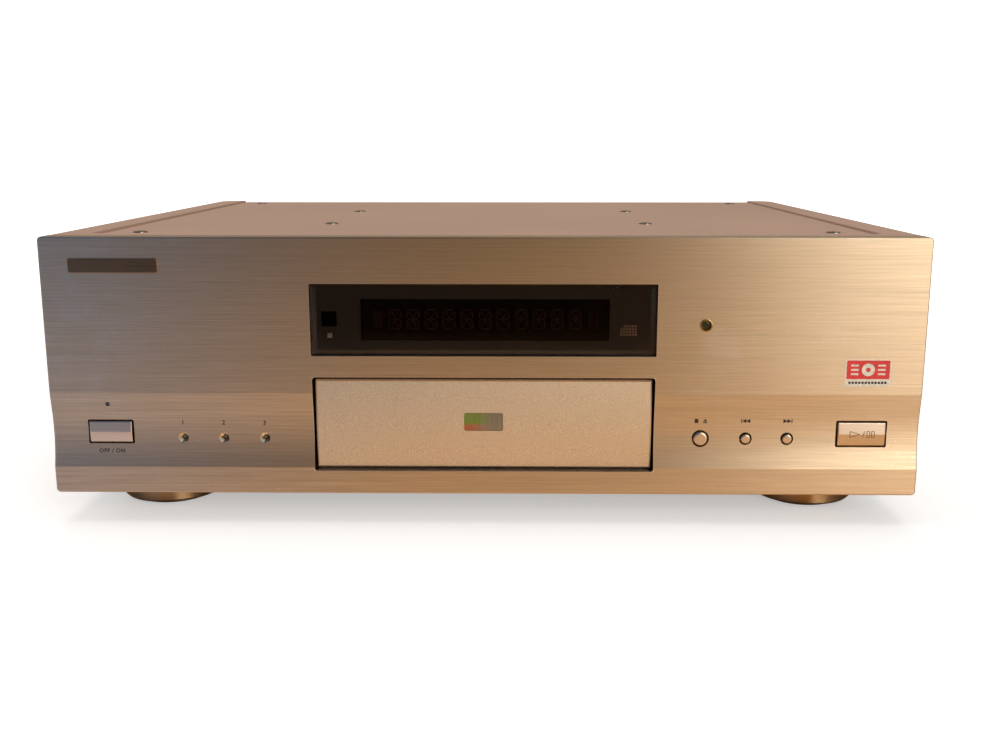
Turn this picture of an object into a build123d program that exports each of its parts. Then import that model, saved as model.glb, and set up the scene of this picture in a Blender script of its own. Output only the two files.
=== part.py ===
from build123d import *
import math
import os

# Hi-fi DVD player with a motorised disc tray. Sizes are in millimetres.
# It is drawn from its front panel: X runs to the right from the middle, Y runs back from the
# panel's flat face and Z runs up from the panel's lower edge. At the end every piece is moved
# so that the origin lies at the bottom centre of the whole player.

# Cabinet
width = 420.0
panel_height = 125.1
body_depth = 344.0
foot_height = 15.5
sheet = 1.6
side_sheet = 2.0
top_sheet = 2.0
pan_lift = 1.0
pan_flange = 8.0
rail_width = 17.2
rail_proud = 1.0
rail_round = 1.5
ledge_width = 30.0
top_drop = 0.2
strip_back = 22.0
seam = 0.6
plate_gap_left = 1.7
plate_gap_right = 0.3
rear_lip_height = 12.0
rear_round = 12.0

# Front panel
panel_thickness = 10.0
panel_corner_round = 2.0
panel_edge_round = 0.8
crease_z = 50.0
crease_turn = 7.0
scoop_line_height = 10.0
lip_height = 13.2
lip_proud = 0.6
edge_break = 0.3

# Fits
clearance = 0.4
slip = 0.3
pin_clearance = 0.1
hole_clearance = 0.1

# How far a cutting shape reaches past the face it cuts
over = 1.0

# Display window and what shows behind it
window_width = 164.6
window_height = 34.4
window_top_inset = 22.3
window_thickness = 4.0
window_bevel = 3.0
window_bevel_depth = 1.3
vfd_left = 58.7
vfd_right = 60.2
vfd_bottom_inset = 7.0
vfd_height = 20.1
vfd_thickness = 6.0
vfd_setback = 2.0
vfd_clip = 4.0
sensor_x = -73.8
sensor_size = 7.4
sensor_z_inset = 17.4
sensor_dome = 2.6
sensor_dome_reach = 1.0

# Front sub-frame and circuit board
frame_depth = 6.0
frame_plate = 2.5
frame_rim = 3.0
board_gap = 6.0
board = 1.6
board_edge = 4.0
board_bottom = 8.0
board_notch = 3.6
post_radius = 3.0

# Front controls: distance from the nearer panel end, and height
power_inset = 28.4
power_z = 30.4
power_width = 20.6
power_height = 10.2
play_inset = 27.5
play_z = 30.3
play_width = 22.8
play_height = 11.4
button_facet = 0.5
button_proud = 1.2
button_round = 0.45
knob_round_share = 0.3
button_travel = 1.0
button_gap = 0.9
flange_margin = 1.5
flange_thickness = 1.2
stem_radius = 2.0
round_buttons_z = 27.8
stop_inset = 105.0
stop_radius = 3.4
previous_inset = 83.2
next_inset = 63.2
skip_radius = 2.3
round_button_gap = 0.8
switch_size = 6.0
switch_depth = 3.5
plunger_radius = 1.5
plunger_length = 0.8
mark_length = 14.9
mark_width = 0.4
mark_depth = 0.2

# Lamps, indicator and name plate
standby_inset = 27.8
standby_z = 44.3
standby_radius = 1.1
standby_setback = 0.6
status_insets = (63.6, 83.5, 103.5)
status_z = 27.4
dimple_radius = 2.5
dimple_depth = 1.6
face_skim = 0.02
pilot_radius = 1.0
status_setback = 1.0
led_flange_radius = 1.6
indicator_inset = 104.4
indicator_z = 83.5
ring_radius = 3.1
ring_bore = 2.3
ring_depth = 4.0
ring_proud = 0.3
indicator_setback = 0.5
indicator_dome = 0.35
plate_inset = 13.9
plate_width = 42.6
plate_height = 6.8
plate_z = 111.5
plate_proud = 0.5
plate_round = 1.0

# Feet
foot_radius = 25.2
foot_inset = 42.4
foot_setback = 50.0
foot_chamfer = 1.2
foot_waist = 0.6
pad_radius = 19.0
pad_proud = 2.0
pad_recess = 1.0
pad_bore = 6.5

# Screws
screw_radius = 1.7
screw_head_radius = 3.6
screw_head = 1.6
screw_length = 9.0
screw_round_share = 0.45
cross_width = 0.9
cross_length = 3.8
cross_depth = 0.8
top_dimple_radius = 6.8
top_dimple_floor = 4.6
top_dimple_depth = 1.1
corner_screw_inset = 34.6
corner_screw_front = 44.5
corner_screw_back = 22.0
beam_screw_x = 88.0
beam_screw_ys = (107.6, 223.0)
rear_screw_xs = (-150.0, -85.0, 75.0, 165.0)

# Disc tray and its door
door_opening_width = 164.8
door_opening_bottom = 11.4
door_opening_top = 57.9
door_opening_round = 1.6
door_side_gap = 1.3
door_edge_gap = 1.45
door_setback = 0.8
door_thickness = 5.0
door_crown = 1.0
door_bevel = 0.7
badge_width = 18.8
badge_height = 8.9
badge_z = 35.95
badge_recess = 0.8
badge_round = 0.8
badge_thickness = 0.35
tray_half = 66.0
tray_back = 205.0
tray_top = 43.0
tray_under = 36.5
front_wall_half = 62.0
front_wall_bottom = 24.0
front_wall_top = 48.0
front_wall = 3.2
door_screw_x = 50.0
door_screw_lift = 6.0
spindle_y = 86.0
disc_recess_radius = 61.5
disc_floor = 39.5
small_disc_radius = 40.5
small_disc_step = 0.8
grip_radius = 13.0
tray_rim = 1.0
slot_half = 20.0
rail_reach = 2.6
rail_height = 3.0
rail_front = 22.0

# Loader chassis
loader_front = 27.0
loader_back = 214.0
loader_wall = 2.5
loader_inner = 69.0
loader_top = 47.0
floor_bottom = 4.6
floor_top = 6.6
guide_rib = 1.6
pivot_y = 200.0
traverse_z = 27.0
pivot_radius = 2.0
pivot_boss_inner = 60.5
pivot_boss_half = 5.0
bridge_half = 21.0
bridge_sheet = 2.0
bridge_flange = 4.0

# Gears
pressure_angle = 20.0
addendum_share = 0.75
dedendum_share = 1.25
backlash = 0.16
rack_module = 1.0
drive_pinion_teeth = 14
train_module = 0.8
drive_wheel_teeth = 36
pulley_pinion_teeth = 12
rack_x = -54.0
drive_y = 42.0
axle_radius = 2.0
hub_wall = 1.9
axle_under_tray = 2.0
pinion_under_tray = 3.0
pulley_axle_reach = 5.0
rack_bottom = 29.5
rack_first = 34.0
rack_end = 6.0
rack_spine = 6.0
drive_wheel_bottom = 22.5
drive_wheel_face = 3.5
pulley_radius = 14.0
pulley_bottom = 14.0
pulley_face = 4.8
pulley_groove = 12.4
motor_pulley_radius = 4.6
motor_pulley_groove = 3.1
belt_section = 1.6
loading_motor_x = 15.0
loading_motor_radius = 11.0
loading_motor_height = 11.5
motor_deck = 1.7
motor_deck_gap = 0.9
deck_post = 1.8
motor_shaft_radius = 1.0
motor_shaft_reach = 5.0
motor_collar = 2.0
motor_round = 1.0

# Cam slider that lifts the traverse
cam_y = 59.0
cam_thickness = 3.0
cam_left = -36.0
cam_right = 30.0
cam_top = 32.0
cam_pin_x = 10.0
cam_pin_radius = 1.5
cam_pin_gap = 0.35
cam_travel = 24.0
lift_angle = 6.0
cam_rib = 1.2
cam_rib_height = 2.9

# Traverse with spindle, pickup and sled drive
traverse_half = 58.0
traverse_front = 66.0
traverse_back = 204.0
traverse_sheet = 2.0
pivot_block_width = 6.0
pivot_block_reach = 4.0
spindle_floor = 1.0
sled_window_half = 34.0
sled_window_front = 100.0
sled_window_back = 183.0
spindle_motor_radius = 16.0
spindle_motor_height = 6.5
spindle_radius = 1.5
turntable_radius = 14.5
turntable_gap = 0.5
turntable_neck = 6.0
turntable_platter = 3.0
disc_plane = 41.5
hub_radius = 7.4
hub_tip_radius = 5.0
hub_height = 2.0
clamper_radius = 12.8
clamper_flange_radius = 16.0
clamper_flange = 2.0
clamper_gap = 0.8
guide_rod_radius = 1.5
guide_rod_x = 27.0
guide_rod_z = 24.0
rod_ear = 4.0
rod_ear_half = 3.0
rod_ear_overlap = 1.0
pivot_pin_gap = 1.0
sled_half = 31.0
sled_front = 103.5
sled_length = 41.5
sled_bottom = 20.5
sled_top = 29.0
lens_y = 110.0
actuator_half = 15.0
actuator_front = 105.0
actuator_back = 127.0
actuator_top = 38.4
lens_radius = 3.5
lens_well = 0.7
lens_height = 3.0
lens_side_gap = 0.8
lens_dome_radius = 2.2
lens_dome_height = 0.5
sled_module = 0.8
sled_pinion_teeth = 14
sled_wheel_teeth = 30
sled_motor_teeth = 12
sled_rack_x = -34.0
sled_rack_face = 3.0
sled_rack_lead = 2.0
sled_rack_bite = 1.0
sled_gear_y = 141.3
sled_wheel_bottom = 17.2
sled_wheel_face = 2.8
sled_motor_direction = 130.0
sled_motor_radius = 7.5
sled_shaft_radius = 0.75
sled_shaft_end = 2.0

# Power supply, boards and sockets
beam_x = 92.0
beam_flange = 10.0
beam_front = 26.0
standoff = 8.0
standoff_radius = 4.0
standoff_inset = 8.0
bay_margin = 6.0
transformer_size = (72.0, 62.0, 58.0)
transformer_front = 66.0
transformer_foot = 9.0
transformer_coil_reach = 10.0
transformer_coil_drop = 8.0
transformer_foot_setback = 20.0
transformer_coil_round = 5.0
power_board_front = 140.0
main_board_front = 222.0
main_board_half = 86.0
audio_board_front = 60.0
rear_board_gap = 7.0
capacitor_radius = 11.0
capacitor_height = 35.0
capacitor_round = 1.5
capacitor_spots = ((0.3, 0.2), (0.7, 0.2), (0.3, 0.38), (0.7, 0.38))
heat_sink_size = (56.0, 22.0, 38.0)
heat_sink_base = 4.0
heat_sink_place = 0.6
heat_sink_fin = 1.6
heat_sink_pitch = 5.2
chip_height = 2.6
rca_radius = 4.15
rca_length = 9.0
rca_bore = 1.65
rca_nut_radius = 6.2
rca_nut = 1.5
rca_body = 10.0
rca_inside = 12.0
rca_places = (
    (120.0, 30.0), (120.0, 52.0), (144.0, 30.0), (144.0, 52.0),
    (-62.0, 40.0), (-42.0, 40.0), (-22.0, 40.0), (4.0, 40.0),
)
s_video_places = ((28.0, 40.0), (52.0, 40.0))
s_video_radius = 6.5
s_video_bore = 4.6
s_video_bore_depth = 7.0
s_video_body = 14.0
inlet_inset = 50.0
inlet_z = 34.0
inlet_cavity = (24.2, 16.4, 16.5)
inlet_wall = 1.8
inlet_round = 2.0
inlet_flange = (48.0, 22.0, 1.5)
inlet_flange_round = 3.0
inlet_blade = (2.0, 4.0, 14.0)
inlet_line_spread = 7.0
inlet_blade_offset = 2.0

# Values that follow from the sizes above
half = width / 2
rail_top = panel_height - top_drop
plate_top = rail_top - rail_proud
plate_under = plate_top - top_sheet
ledge_under = plate_under - side_sheet
inner_half = half - side_sheet
pan_top = pan_lift + sheet
rear_face = body_depth - side_sheet
rear_inner = rear_face - sheet
strip_under = rail_top - side_sheet
frame_back = panel_thickness + frame_depth
board_front = frame_back + board_gap
board_back = board_front + board
window_top = panel_height - window_top_inset
window_bottom = window_top - window_height
vfd_bottom = window_bottom + vfd_bottom_inset
board_z = pan_top + standoff
scoop_line_z = crease_z - scoop_line_height
crease_slope = math.tan(math.radians(crease_turn))
scoop_start_y = scoop_line_height * crease_slope
tray_front = door_setback + door_thickness
door_screw_z = front_wall_bottom + door_screw_lift
guide_low = tray_under - slip
guide_high = tray_under + rail_height + slip
drive_x = rack_x + rack_module * drive_pinion_teeth / 2
train_centres = train_module * (drive_wheel_teeth + pulley_pinion_teeth) / 2
pulley_x = drive_x + train_centres
pulley_top = pulley_bottom + pulley_face
belt_z = pulley_bottom + (pulley_face - belt_section) / 2
deck_bottom = pulley_top + motor_deck_gap
deck_top = deck_bottom + motor_deck
traverse_bottom = traverse_z - traverse_sheet / 2
traverse_top = traverse_z + traverse_sheet / 2
cam_drop = (pivot_y - cam_y - cam_thickness / 2) * math.sin(math.radians(lift_angle))
sled_gear_x = sled_rack_x - sled_module * sled_pinion_teeth / 2
sled_centres = sled_module * (sled_wheel_teeth + sled_motor_teeth) / 2
sled_motor_x = sled_gear_x + sled_centres * math.cos(math.radians(sled_motor_direction))
sled_motor_y = sled_gear_y + sled_centres * math.sin(math.radians(sled_motor_direction))
sled_wheel_top = sled_wheel_bottom + sled_wheel_face
power_x = power_inset - half
play_x = half - play_inset
stop_x = half - stop_inset
previous_x = half - previous_inset
next_x = half - next_inset
standby_x = standby_inset - half
status_xs = [inset - half for inset in status_insets]
indicator_x = half - indicator_inset
foot_x = half - foot_inset
foot_ys = (foot_setback, body_depth - foot_setback)
rear_reach = rear_face + rca_nut + rca_length
lower_screw_z = pan_lift + pan_flange / 2
upper_screw_z = plate_top - rear_lip_height / 2
inlet_x = inlet_inset - half
inlet_mouth = rear_face + inlet_flange[2]
pocket_back = panel_thickness + slip + flange_thickness + button_travel + slip
foot_bottom = pad_proud - foot_height
foot_floor = foot_bottom + pad_recess
board_rear = rear_inner - rear_board_gap
bay_outer = inner_half - sheet - bay_margin
bay_inner = beam_x + sheet + beam_flange + bay_margin / 2
power_board_area = (-bay_outer, -bay_inner, power_board_front, board_rear)
audio_board_area = (bay_inner, bay_outer, audio_board_front, board_rear)
main_board_area = (-main_board_half, main_board_half, main_board_front, board_rear)


def block(x0, x1, y0, y1, z0, z1):
    """A box between two corners."""
    middle = Pos((x0 + x1) / 2, (y0 + y1) / 2, (z0 + z1) / 2)
    return middle * Box(abs(x1 - x0), abs(y1 - y0), abs(z1 - z0))


def post_z(x, y, z0, z1, radius):
    """An upright round post."""
    return Pos(x, y, (z0 + z1) / 2) * Cylinder(radius, z1 - z0)


def rod_y(x, z, y0, y1, radius):
    """A round rod that runs front to back."""
    return Pos(x, (y0 + y1) / 2, z) * Rot(90, 0, 0) * Cylinder(radius, y1 - y0)


def rod_x(y, z, x0, x1, radius):
    """A round rod that runs left to right."""
    return Pos((x0 + x1) / 2, y, z) * Rot(0, 90, 0) * Cylinder(radius, x1 - x0)


def cone_y(x, z, y0, y1, radius_front, radius_back):
    """A cone that runs front to back."""
    middle = Pos(x, (y0 + y1) / 2, z) * Rot(-90, 0, 0)
    return middle * Cone(radius_front, radius_back, y1 - y0)


def slab_xz(x, z, wide, high, y0, y1, radius):
    """A plate that faces the front, with rounded corners."""
    outline = Plane.XZ * Pos(x, z) * RectangleRounded(wide, high, radius)
    return Pos(0, y1, 0) * extrude(outline, y1 - y0)


def edges_at(shape, test):
    """The edges of a shape whose middles pass a test."""
    return [edge for edge in shape.edges() if test(edge.center())]


def near(a, b):
    return abs(a - b) < 1e-4


def face_y(z):
    """Depth of the front panel's face at a height: flat, then scooped, then the lip."""
    if z >= crease_z:
        return 0.0
    if z >= scoop_line_z:
        return (crease_z - z) * crease_slope
    if z < lip_height:
        return -lip_proud
    turn = math.radians(crease_turn)
    run_y = -lip_proud - scoop_start_y
    run_z = lip_height - scoop_line_z
    chord = math.hypot(run_y, run_z)
    lean = math.atan2(-run_y, -run_z) + turn
    radius = chord / (2 * math.sin(lean))
    centre_y = scoop_start_y - radius * math.cos(turn)
    centre_z = scoop_line_z - radius * math.sin(turn)
    return centre_y + math.sqrt(radius ** 2 - (z - centre_z) ** 2)


# Gears

def involute(angle):
    return math.tan(angle) - angle


def gear_outline(teeth, module, phase):
    """Points of a spur gear, with the middle of one tooth at the phase angle in degrees."""
    pitch = module * teeth / 2
    base = pitch * math.cos(math.radians(pressure_angle))
    tip = pitch + addendum_share * module
    root = pitch - dedendum_share * module
    start = max(base, root)
    half_tooth = math.pi / (2 * teeth) - backlash / (4 * pitch)
    half_tooth += involute(math.radians(pressure_angle))
    steps = 4
    flank = []
    for step in range(steps):
        radius = start + (tip - start) * step / (steps - 1)
        flank.append((radius, half_tooth - involute(math.acos(base / radius))))
    if root < base:
        flank.insert(0, (root, flank[0][1]))
    points = []
    for tooth in range(teeth):
        middle = math.radians(phase) + 2 * math.pi * tooth / teeth
        rising = [(radius, middle - angle) for radius, angle in flank]
        falling = [(radius, middle + angle) for radius, angle in reversed(flank)]
        for radius, angle in rising + falling:
            points.append((radius * math.cos(angle), radius * math.sin(angle)))
    return points


def gear(x, y, z0, z1, teeth, module, phase):
    """A spur gear on an upright axis."""
    outline = Polyline(*gear_outline(teeth, module, phase), close=True)
    return Pos(x, y, z0) * extrude(make_face(outline), z1 - z0)


def rack(x, y_from, y_to, y_mesh, z0, z1, module, facing, back):
    """A rack along Y. Its teeth face +X or -X, with a gap between two of them at y_mesh."""
    pitch = math.pi * module
    slope = math.tan(math.radians(pressure_angle))
    tip = addendum_share * module
    root = dedendum_share * module
    flank_root = pitch / 4 + root * slope - backlash / 4
    flank_tip = pitch / 4 - tip * slope - backlash / 4
    first = math.ceil((y_from + flank_root - y_mesh) / pitch - 0.5)
    last = math.floor((y_to - flank_root - y_mesh) / pitch - 0.5)
    points = [(x - facing * (root + back), y_from), (x - facing * root, y_from)]
    for number in range(first, last + 1):
        middle = y_mesh + pitch * (number + 0.5)
        points.append((x - facing * root, middle - flank_root))
        points.append((x + facing * tip, middle - flank_tip))
        points.append((x + facing * tip, middle + flank_tip))
        points.append((x - facing * root, middle + flank_root))
    points.append((x - facing * root, y_to))
    points.append((x - facing * (root + back), y_to))
    return Pos(0, 0, z0) * extrude(make_face(Polyline(*points, close=True)), z1 - z0)


# Screws

def screw(place, length):
    """A pan-head screw with a crossed recess, its head's seat at the place, pointing down."""
    head = Pos(0, 0, screw_head / 2) * Cylinder(screw_head_radius, screw_head)
    head = fillet(edges_at(head, lambda c: near(c.Z, screw_head)), screw_head * screw_round_share)
    shank = Pos(0, 0, -length / 2) * Cylinder(screw_radius, length)
    slot = Box(cross_length, cross_width, 2 * cross_depth)
    cross = Pos(0, 0, screw_head) * (slot + Rot(0, 0, 90) * slot)
    return place * (head + shank - cross)


def facing_back(x, y, z):
    """The place of a screw whose head faces the back."""
    return Pos(x, y, z) * Rot(-90, 0, 0)


def facing_up(x, y, z):
    return Pos(x, y, z)


def facing_down(x, y, z):
    return Pos(x, y, z) * Rot(180, 0, 0)


# Front panel and what it carries

def panel_blank():
    """The extruded panel: a flat face, a crease, a shallow scoop and a lip."""
    turn = math.radians(crease_turn)
    scoop_start = (scoop_start_y, scoop_line_z)
    upper = Polyline(
        (panel_thickness, 0), (panel_thickness, panel_height), (0, panel_height),
        (0, crease_z), scoop_start,
    )
    scoop = TangentArc(
        scoop_start, (-lip_proud, lip_height), tangent=(math.sin(turn), -math.cos(turn))
    )
    lower = Polyline((-lip_proud, lip_height), (-lip_proud, 0), (panel_thickness, 0))
    outline = make_face(Plane.YZ * (upper + scoop + lower))
    blank = extrude(outline, half, both=True)

    def at_end(z):
        return near(z, 0) or near(z, panel_height)

    corners = edges_at(blank, lambda c: near(abs(c.X), half) and at_end(c.Z))
    blank = fillet(corners, panel_corner_round)

    def on_front_rim(c):
        at_side = abs(c.X) > half - panel_corner_round
        return c.Y < panel_thickness / 4 and (at_side or at_end(c.Z))

    return fillet(edges_at(blank, on_front_rim), panel_edge_round)


def front_panel():
    front = -button_proud - over
    back = panel_thickness + over
    panel = panel_blank()
    opening_z = (door_opening_bottom + door_opening_top) / 2
    opening_height = door_opening_top - door_opening_bottom
    cuts = [
        slab_xz(0, opening_z, door_opening_width, opening_height, front, back, door_opening_round),
        slab_xz(
            0, (window_top + window_bottom) / 2, window_width + clearance,
            window_height + clearance, front, back, edge_break * 2,
        ),
    ]
    for x, z, wide, high in bar_buttons():
        wide += 2 * button_gap
        high += 2 * button_gap
        cuts.append(slab_xz(x, z, wide, high, front, back, button_round * 2))
    for x, z, radius in knob_buttons():
        cuts.append(rod_y(x, z, front, back, radius + round_button_gap))
    for x in status_xs:
        start = face_y(status_z)
        cuts.append(cone_y(x, status_z, start, start + dimple_depth, dimple_radius, pilot_radius))
        cuts.append(rod_y(x, status_z, start - over, start + face_skim, dimple_radius))
        cuts.append(rod_y(x, status_z, front, back, pilot_radius))
    cuts.append(rod_y(standby_x, standby_z, front, back, standby_radius))
    cuts.append(rod_y(indicator_x, indicator_z, front, back, ring_radius + hole_clearance / 2))
    for cut in cuts:
        panel -= cut
    return panel


def bar_buttons():
    """Centre and size of the two oblong buttons: power, then play and pause."""
    return (
        (power_x, power_z, power_width, power_height),
        (play_x, play_z, play_width, play_height),
    )


def knob_buttons():
    """Centre and radius of the round buttons: stop, previous and next."""
    return (
        (stop_x, round_buttons_z, stop_radius),
        (previous_x, round_buttons_z, skip_radius),
        (next_x, round_buttons_z, skip_radius),
    )


def display_window():
    """Smoked cover, flat at the back, with wide bevels along its front edges."""
    sharp = block(
        -window_width / 2, window_width / 2, 0, window_thickness, window_bottom, window_top
    )
    front_edges = edges_at(sharp, lambda c: near(c.Y, 0))
    face = sharp.faces().sort_by(Axis.Y)[0]
    return chamfer(front_edges, window_bevel, window_bevel_depth, reference=face)


def vfd_display():
    """Glass display tube with two clips that stand on the front board."""
    front = window_thickness + vfd_setback
    back = front + vfd_thickness
    top = vfd_bottom + vfd_height
    tube = block(-vfd_left, vfd_right, front, back, vfd_bottom, top)
    tube += block(-vfd_left, vfd_clip - vfd_left, back, board_front, vfd_bottom, top)
    tube += block(vfd_right - vfd_clip, vfd_right, back, board_front, vfd_bottom, top)
    return tube


def remote_sensor():
    """Infra-red receiver: a square case with a round lens."""
    z = window_bottom + sensor_z_inset
    reach = sensor_size / 2
    front = window_thickness + vfd_setback
    case = block(sensor_x - reach, sensor_x + reach, front, board_front, z - reach, z + reach)
    return case + rod_y(sensor_x, z, front - sensor_dome_reach, front, sensor_dome)


def control_boss(x, z, wide, high):
    """A block of the sub-frame round an oblong button."""
    wide += 2 * (flange_margin + slip + frame_plate)
    high += 2 * (flange_margin + slip + frame_plate)
    return block(
        x - wide / 2, x + wide / 2, panel_thickness, frame_back, z - high / 2, z + high / 2
    )


def front_frame():
    """Moulded sub-frame behind the panel: mask, button pockets, lamp holes and board posts."""
    outer = inner_half - slip
    front = panel_thickness
    plate_front = frame_back - frame_plate
    frame = block(-outer, outer, front, frame_back, pan_lift, strip_under)
    frame -= block(
        frame_rim - outer, outer - frame_rim, front, plate_front,
        pan_lift + frame_rim, strip_under - frame_rim,
    )
    opening = door_opening_width / 2
    frame += block(
        -opening - frame_rim, opening + frame_rim, front, frame_back,
        door_opening_bottom - frame_rim, door_opening_top + frame_rim,
    )
    mask_half = window_width / 2 - slip
    frame += block(
        -mask_half, mask_half, window_thickness, frame_back,
        window_bottom + slip, window_top - slip,
    )
    for x, z, wide, high in bar_buttons():
        frame += control_boss(x, z, wide, high)
    for x, z, radius in knob_buttons():
        frame += rod_y(x, z, front, frame_back, radius + flange_margin + slip + frame_plate)
    lamps = [(standby_x, standby_z), (indicator_x, indicator_z)]
    lamps += [(x, status_z) for x in status_xs]
    for x, z in lamps:
        frame += rod_y(x, z, front, frame_back, ring_radius + frame_plate)
    board_half = inner_half - board_edge
    board_top = strip_under - board_bottom
    for x in (-board_half + standoff_inset, board_half - standoff_inset):
        for z in (board_bottom + standoff_inset, board_top - standoff_inset):
            frame += rod_y(x, z, plate_front, board_front, post_radius)
    for x in (-beam_screw_x, beam_screw_x):
        frame += rod_y(x, board_top - standoff_inset, plate_front, board_front, post_radius)

    cuts = [
        block(
            -opening, opening, front - over, frame_back + over, door_opening_bottom, door_opening_top
        ),
        block(
            -vfd_left - clearance, vfd_right + clearance, 0, frame_back + over,
            vfd_bottom - clearance, vfd_bottom + vfd_height + clearance,
        ),
    ]
    sensor_z = window_bottom + sensor_z_inset
    reach = sensor_size / 2 + clearance
    cuts.append(block(
        sensor_x - reach, sensor_x + reach, 0, frame_back + over,
        sensor_z - reach, sensor_z + reach,
    ))
    for x, z, wide, high in bar_buttons():
        reach_x = wide / 2 + flange_margin + slip
        reach_z = high / 2 + flange_margin + slip
        cuts.append(block(
            x - reach_x, x + reach_x, front - over, pocket_back, z - reach_z, z + reach_z
        ))
        cuts.append(rod_y(x, z, front, frame_back + over, stem_radius + slip))
    for x, z, radius in knob_buttons():
        cuts.append(rod_y(x, z, front - over, pocket_back, radius + flange_margin + slip))
        cuts.append(rod_y(x, z, front, frame_back + over, stem_radius + slip))
    for x, z in lamps:
        hole = ring_bore if near(x, indicator_x) else led_flange_radius
        cuts.append(rod_y(x, z, front - over, frame_back + over, hole + hole_clearance))
    for cut in cuts:
        frame -= cut
    return frame


def front_board():
    """Circuit board behind the sub-frame, cut away round the tray."""
    board_half = inner_half - board_edge
    top = strip_under - board_bottom
    plate = block(-board_half, board_half, board_front, board_back, board_bottom, top)
    notch = door_opening_width / 2 + board_notch
    return plate - block(
        -notch, notch, board_front - over, board_back + over, 0, door_opening_top + board_notch
    )


def stem_end():
    """How far back a button's stem reaches at rest."""
    return board_front - switch_depth - plunger_length - button_travel - slip


def tact_switches():
    """One small push switch on the front board behind each button."""
    switches = []
    for x, z, *_ in bar_buttons() + knob_buttons():
        reach = switch_size / 2
        front = board_front - switch_depth
        case = block(x - reach, x + reach, front, board_front, z - reach, z + reach)
        switches.append(case + rod_y(x, z, front - plunger_length, front, plunger_radius))
    return switches


def bar_button(x, z, wide, high):
    """Oblong button: two shallow facets, a flange behind the panel and a stem."""
    front = face_y(z) - button_proud
    flange_front = panel_thickness + slip
    low = z - high / 2
    outline = Polyline(
        (flange_front, low), (front + button_facet, low), (front, z),
        (front + button_facet, z + high / 2), (flange_front, z + high / 2), close=True,
    )
    cap = Pos(x, 0, 0) * extrude(make_face(Plane.YZ * outline), wide / 2, both=True)
    cap = fillet(edges_at(cap, lambda c: c.Y < front + button_facet + 0.01), button_round)
    reach_x = wide / 2 + flange_margin
    reach_z = high / 2 + flange_margin
    flange_back = flange_front + flange_thickness
    cap += block(x - reach_x, x + reach_x, flange_front, flange_back, z - reach_z, z + reach_z)
    return cap + rod_y(x, z, flange_back, stem_end(), stem_radius)


def power_button():
    x, z, wide, high = bar_buttons()[0]
    front = face_y(z) - button_proud
    line = block(
        x - mark_length / 2, x + mark_length / 2, front - over, front + mark_depth,
        z - mark_width / 2, z + mark_width / 2,
    )
    return bar_button(x, z, wide, high) - line


def play_button():
    return bar_button(*bar_buttons()[1])


def knob_button(x, z, radius):
    """Round button with a softened rim, a flange behind the panel and a stem."""
    front = face_y(z) - button_proud
    flange_front = panel_thickness + slip
    flange_back = flange_front + flange_thickness
    cap = rod_y(x, z, front, flange_front, radius)
    cap = fillet(edges_at(cap, lambda c: near(c.Y, front)), radius * knob_round_share)
    cap += rod_y(x, z, flange_front, flange_back, radius + flange_margin)
    return cap + rod_y(x, z, flange_back, stem_end(), stem_radius)


def standby_led():
    """Indicator lamp: a thin nose in the panel and a body on the board."""
    nose = rod_y(
        standby_x, standby_z, face_y(standby_z) + standby_setback, panel_thickness,
        standby_radius - hole_clearance,
    )
    return nose + rod_y(standby_x, standby_z, panel_thickness, board_front, led_flange_radius)


def status_leds():
    """Three lamps, each deep in its dimple."""
    lamps = []
    for x in status_xs:
        nose_front = face_y(status_z) + dimple_depth + status_setback
        nose = rod_y(x, status_z, nose_front, panel_thickness, pilot_radius - hole_clearance)
        lamps.append(nose + rod_y(x, status_z, panel_thickness, board_front, led_flange_radius))
    return lamps


def indicator_ring():
    tube = rod_y(indicator_x, indicator_z, -ring_proud, ring_depth, ring_radius)
    tube = fillet(edges_at(tube, lambda c: near(c.Y, -ring_proud)), ring_proud)
    return tube - rod_y(indicator_x, indicator_z, -ring_proud - over, ring_depth + over, ring_bore)


def indicator_lens():
    """Light pipe from the board to the ring."""
    radius = ring_bore - hole_clearance / 2
    pipe = rod_y(indicator_x, indicator_z, indicator_setback, board_front, radius)
    front_edge = edges_at(pipe, lambda c: near(c.Y, indicator_setback))
    return fillet(front_edge, radius * indicator_dome)


def name_plate():
    """Blank plate on the panel's upper left."""
    x = plate_inset + plate_width / 2 - half
    plate = slab_xz(x, plate_z, plate_width, plate_height, -plate_proud, 0, plate_round)
    return chamfer(edges_at(plate, lambda c: near(c.Y, -plate_proud)), plate_proud / 2)


# Cabinet

def plan_block(reach, front, back, z0, z1, corner):
    """A block as wide as twice its reach, with its rear upright corners rounded."""
    body = block(-reach, reach, front, back, z0, z1)
    return fillet(edges_at(body, lambda c: near(abs(c.X), reach) and near(c.Y, back)
                           and near(c.Z, (z0 + z1) / 2)), corner)


def side_panel(side):
    """Bent sheet: a wall round the rear corner, a raised rail and a sunk ledge for the top."""
    rail_edge = half - rail_width
    start = strip_back + seam
    wall = plan_block(half, panel_thickness, body_depth, pan_lift, strip_under, rear_round)
    wall -= plan_block(
        inner_half, panel_thickness - over, rear_face, pan_lift - over, strip_under + over,
        rear_round - side_sheet,
    )
    bent = wall & block(rail_edge, half, panel_thickness, body_depth, pan_lift, strip_under)
    rail = plan_block(half, start, body_depth, strip_under, rail_top, rear_round)
    rail &= block(rail_edge, half, start, body_depth, strip_under, rail_top)
    outer = edges_at(rail, lambda c: near(c.Z, rail_top) and c.X > rail_edge + seam
                     and c.Y > start + seam)
    bent += fillet(outer, rail_round)
    bent += block(rail_edge, rail_edge + side_sheet, start, rear_face, ledge_under, strip_under)
    bent += block(
        rail_edge - ledge_width, rail_edge, start, rear_face, ledge_under, plate_under
    )
    for y in (corner_screw_front, body_depth - corner_screw_back):
        x = half - corner_screw_inset
        bent -= post_z(x, y, ledge_under - over, plate_under + over, screw_radius + hole_clearance)
    return bent if side > 0 else mirror(bent, Plane.YZ)


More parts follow.
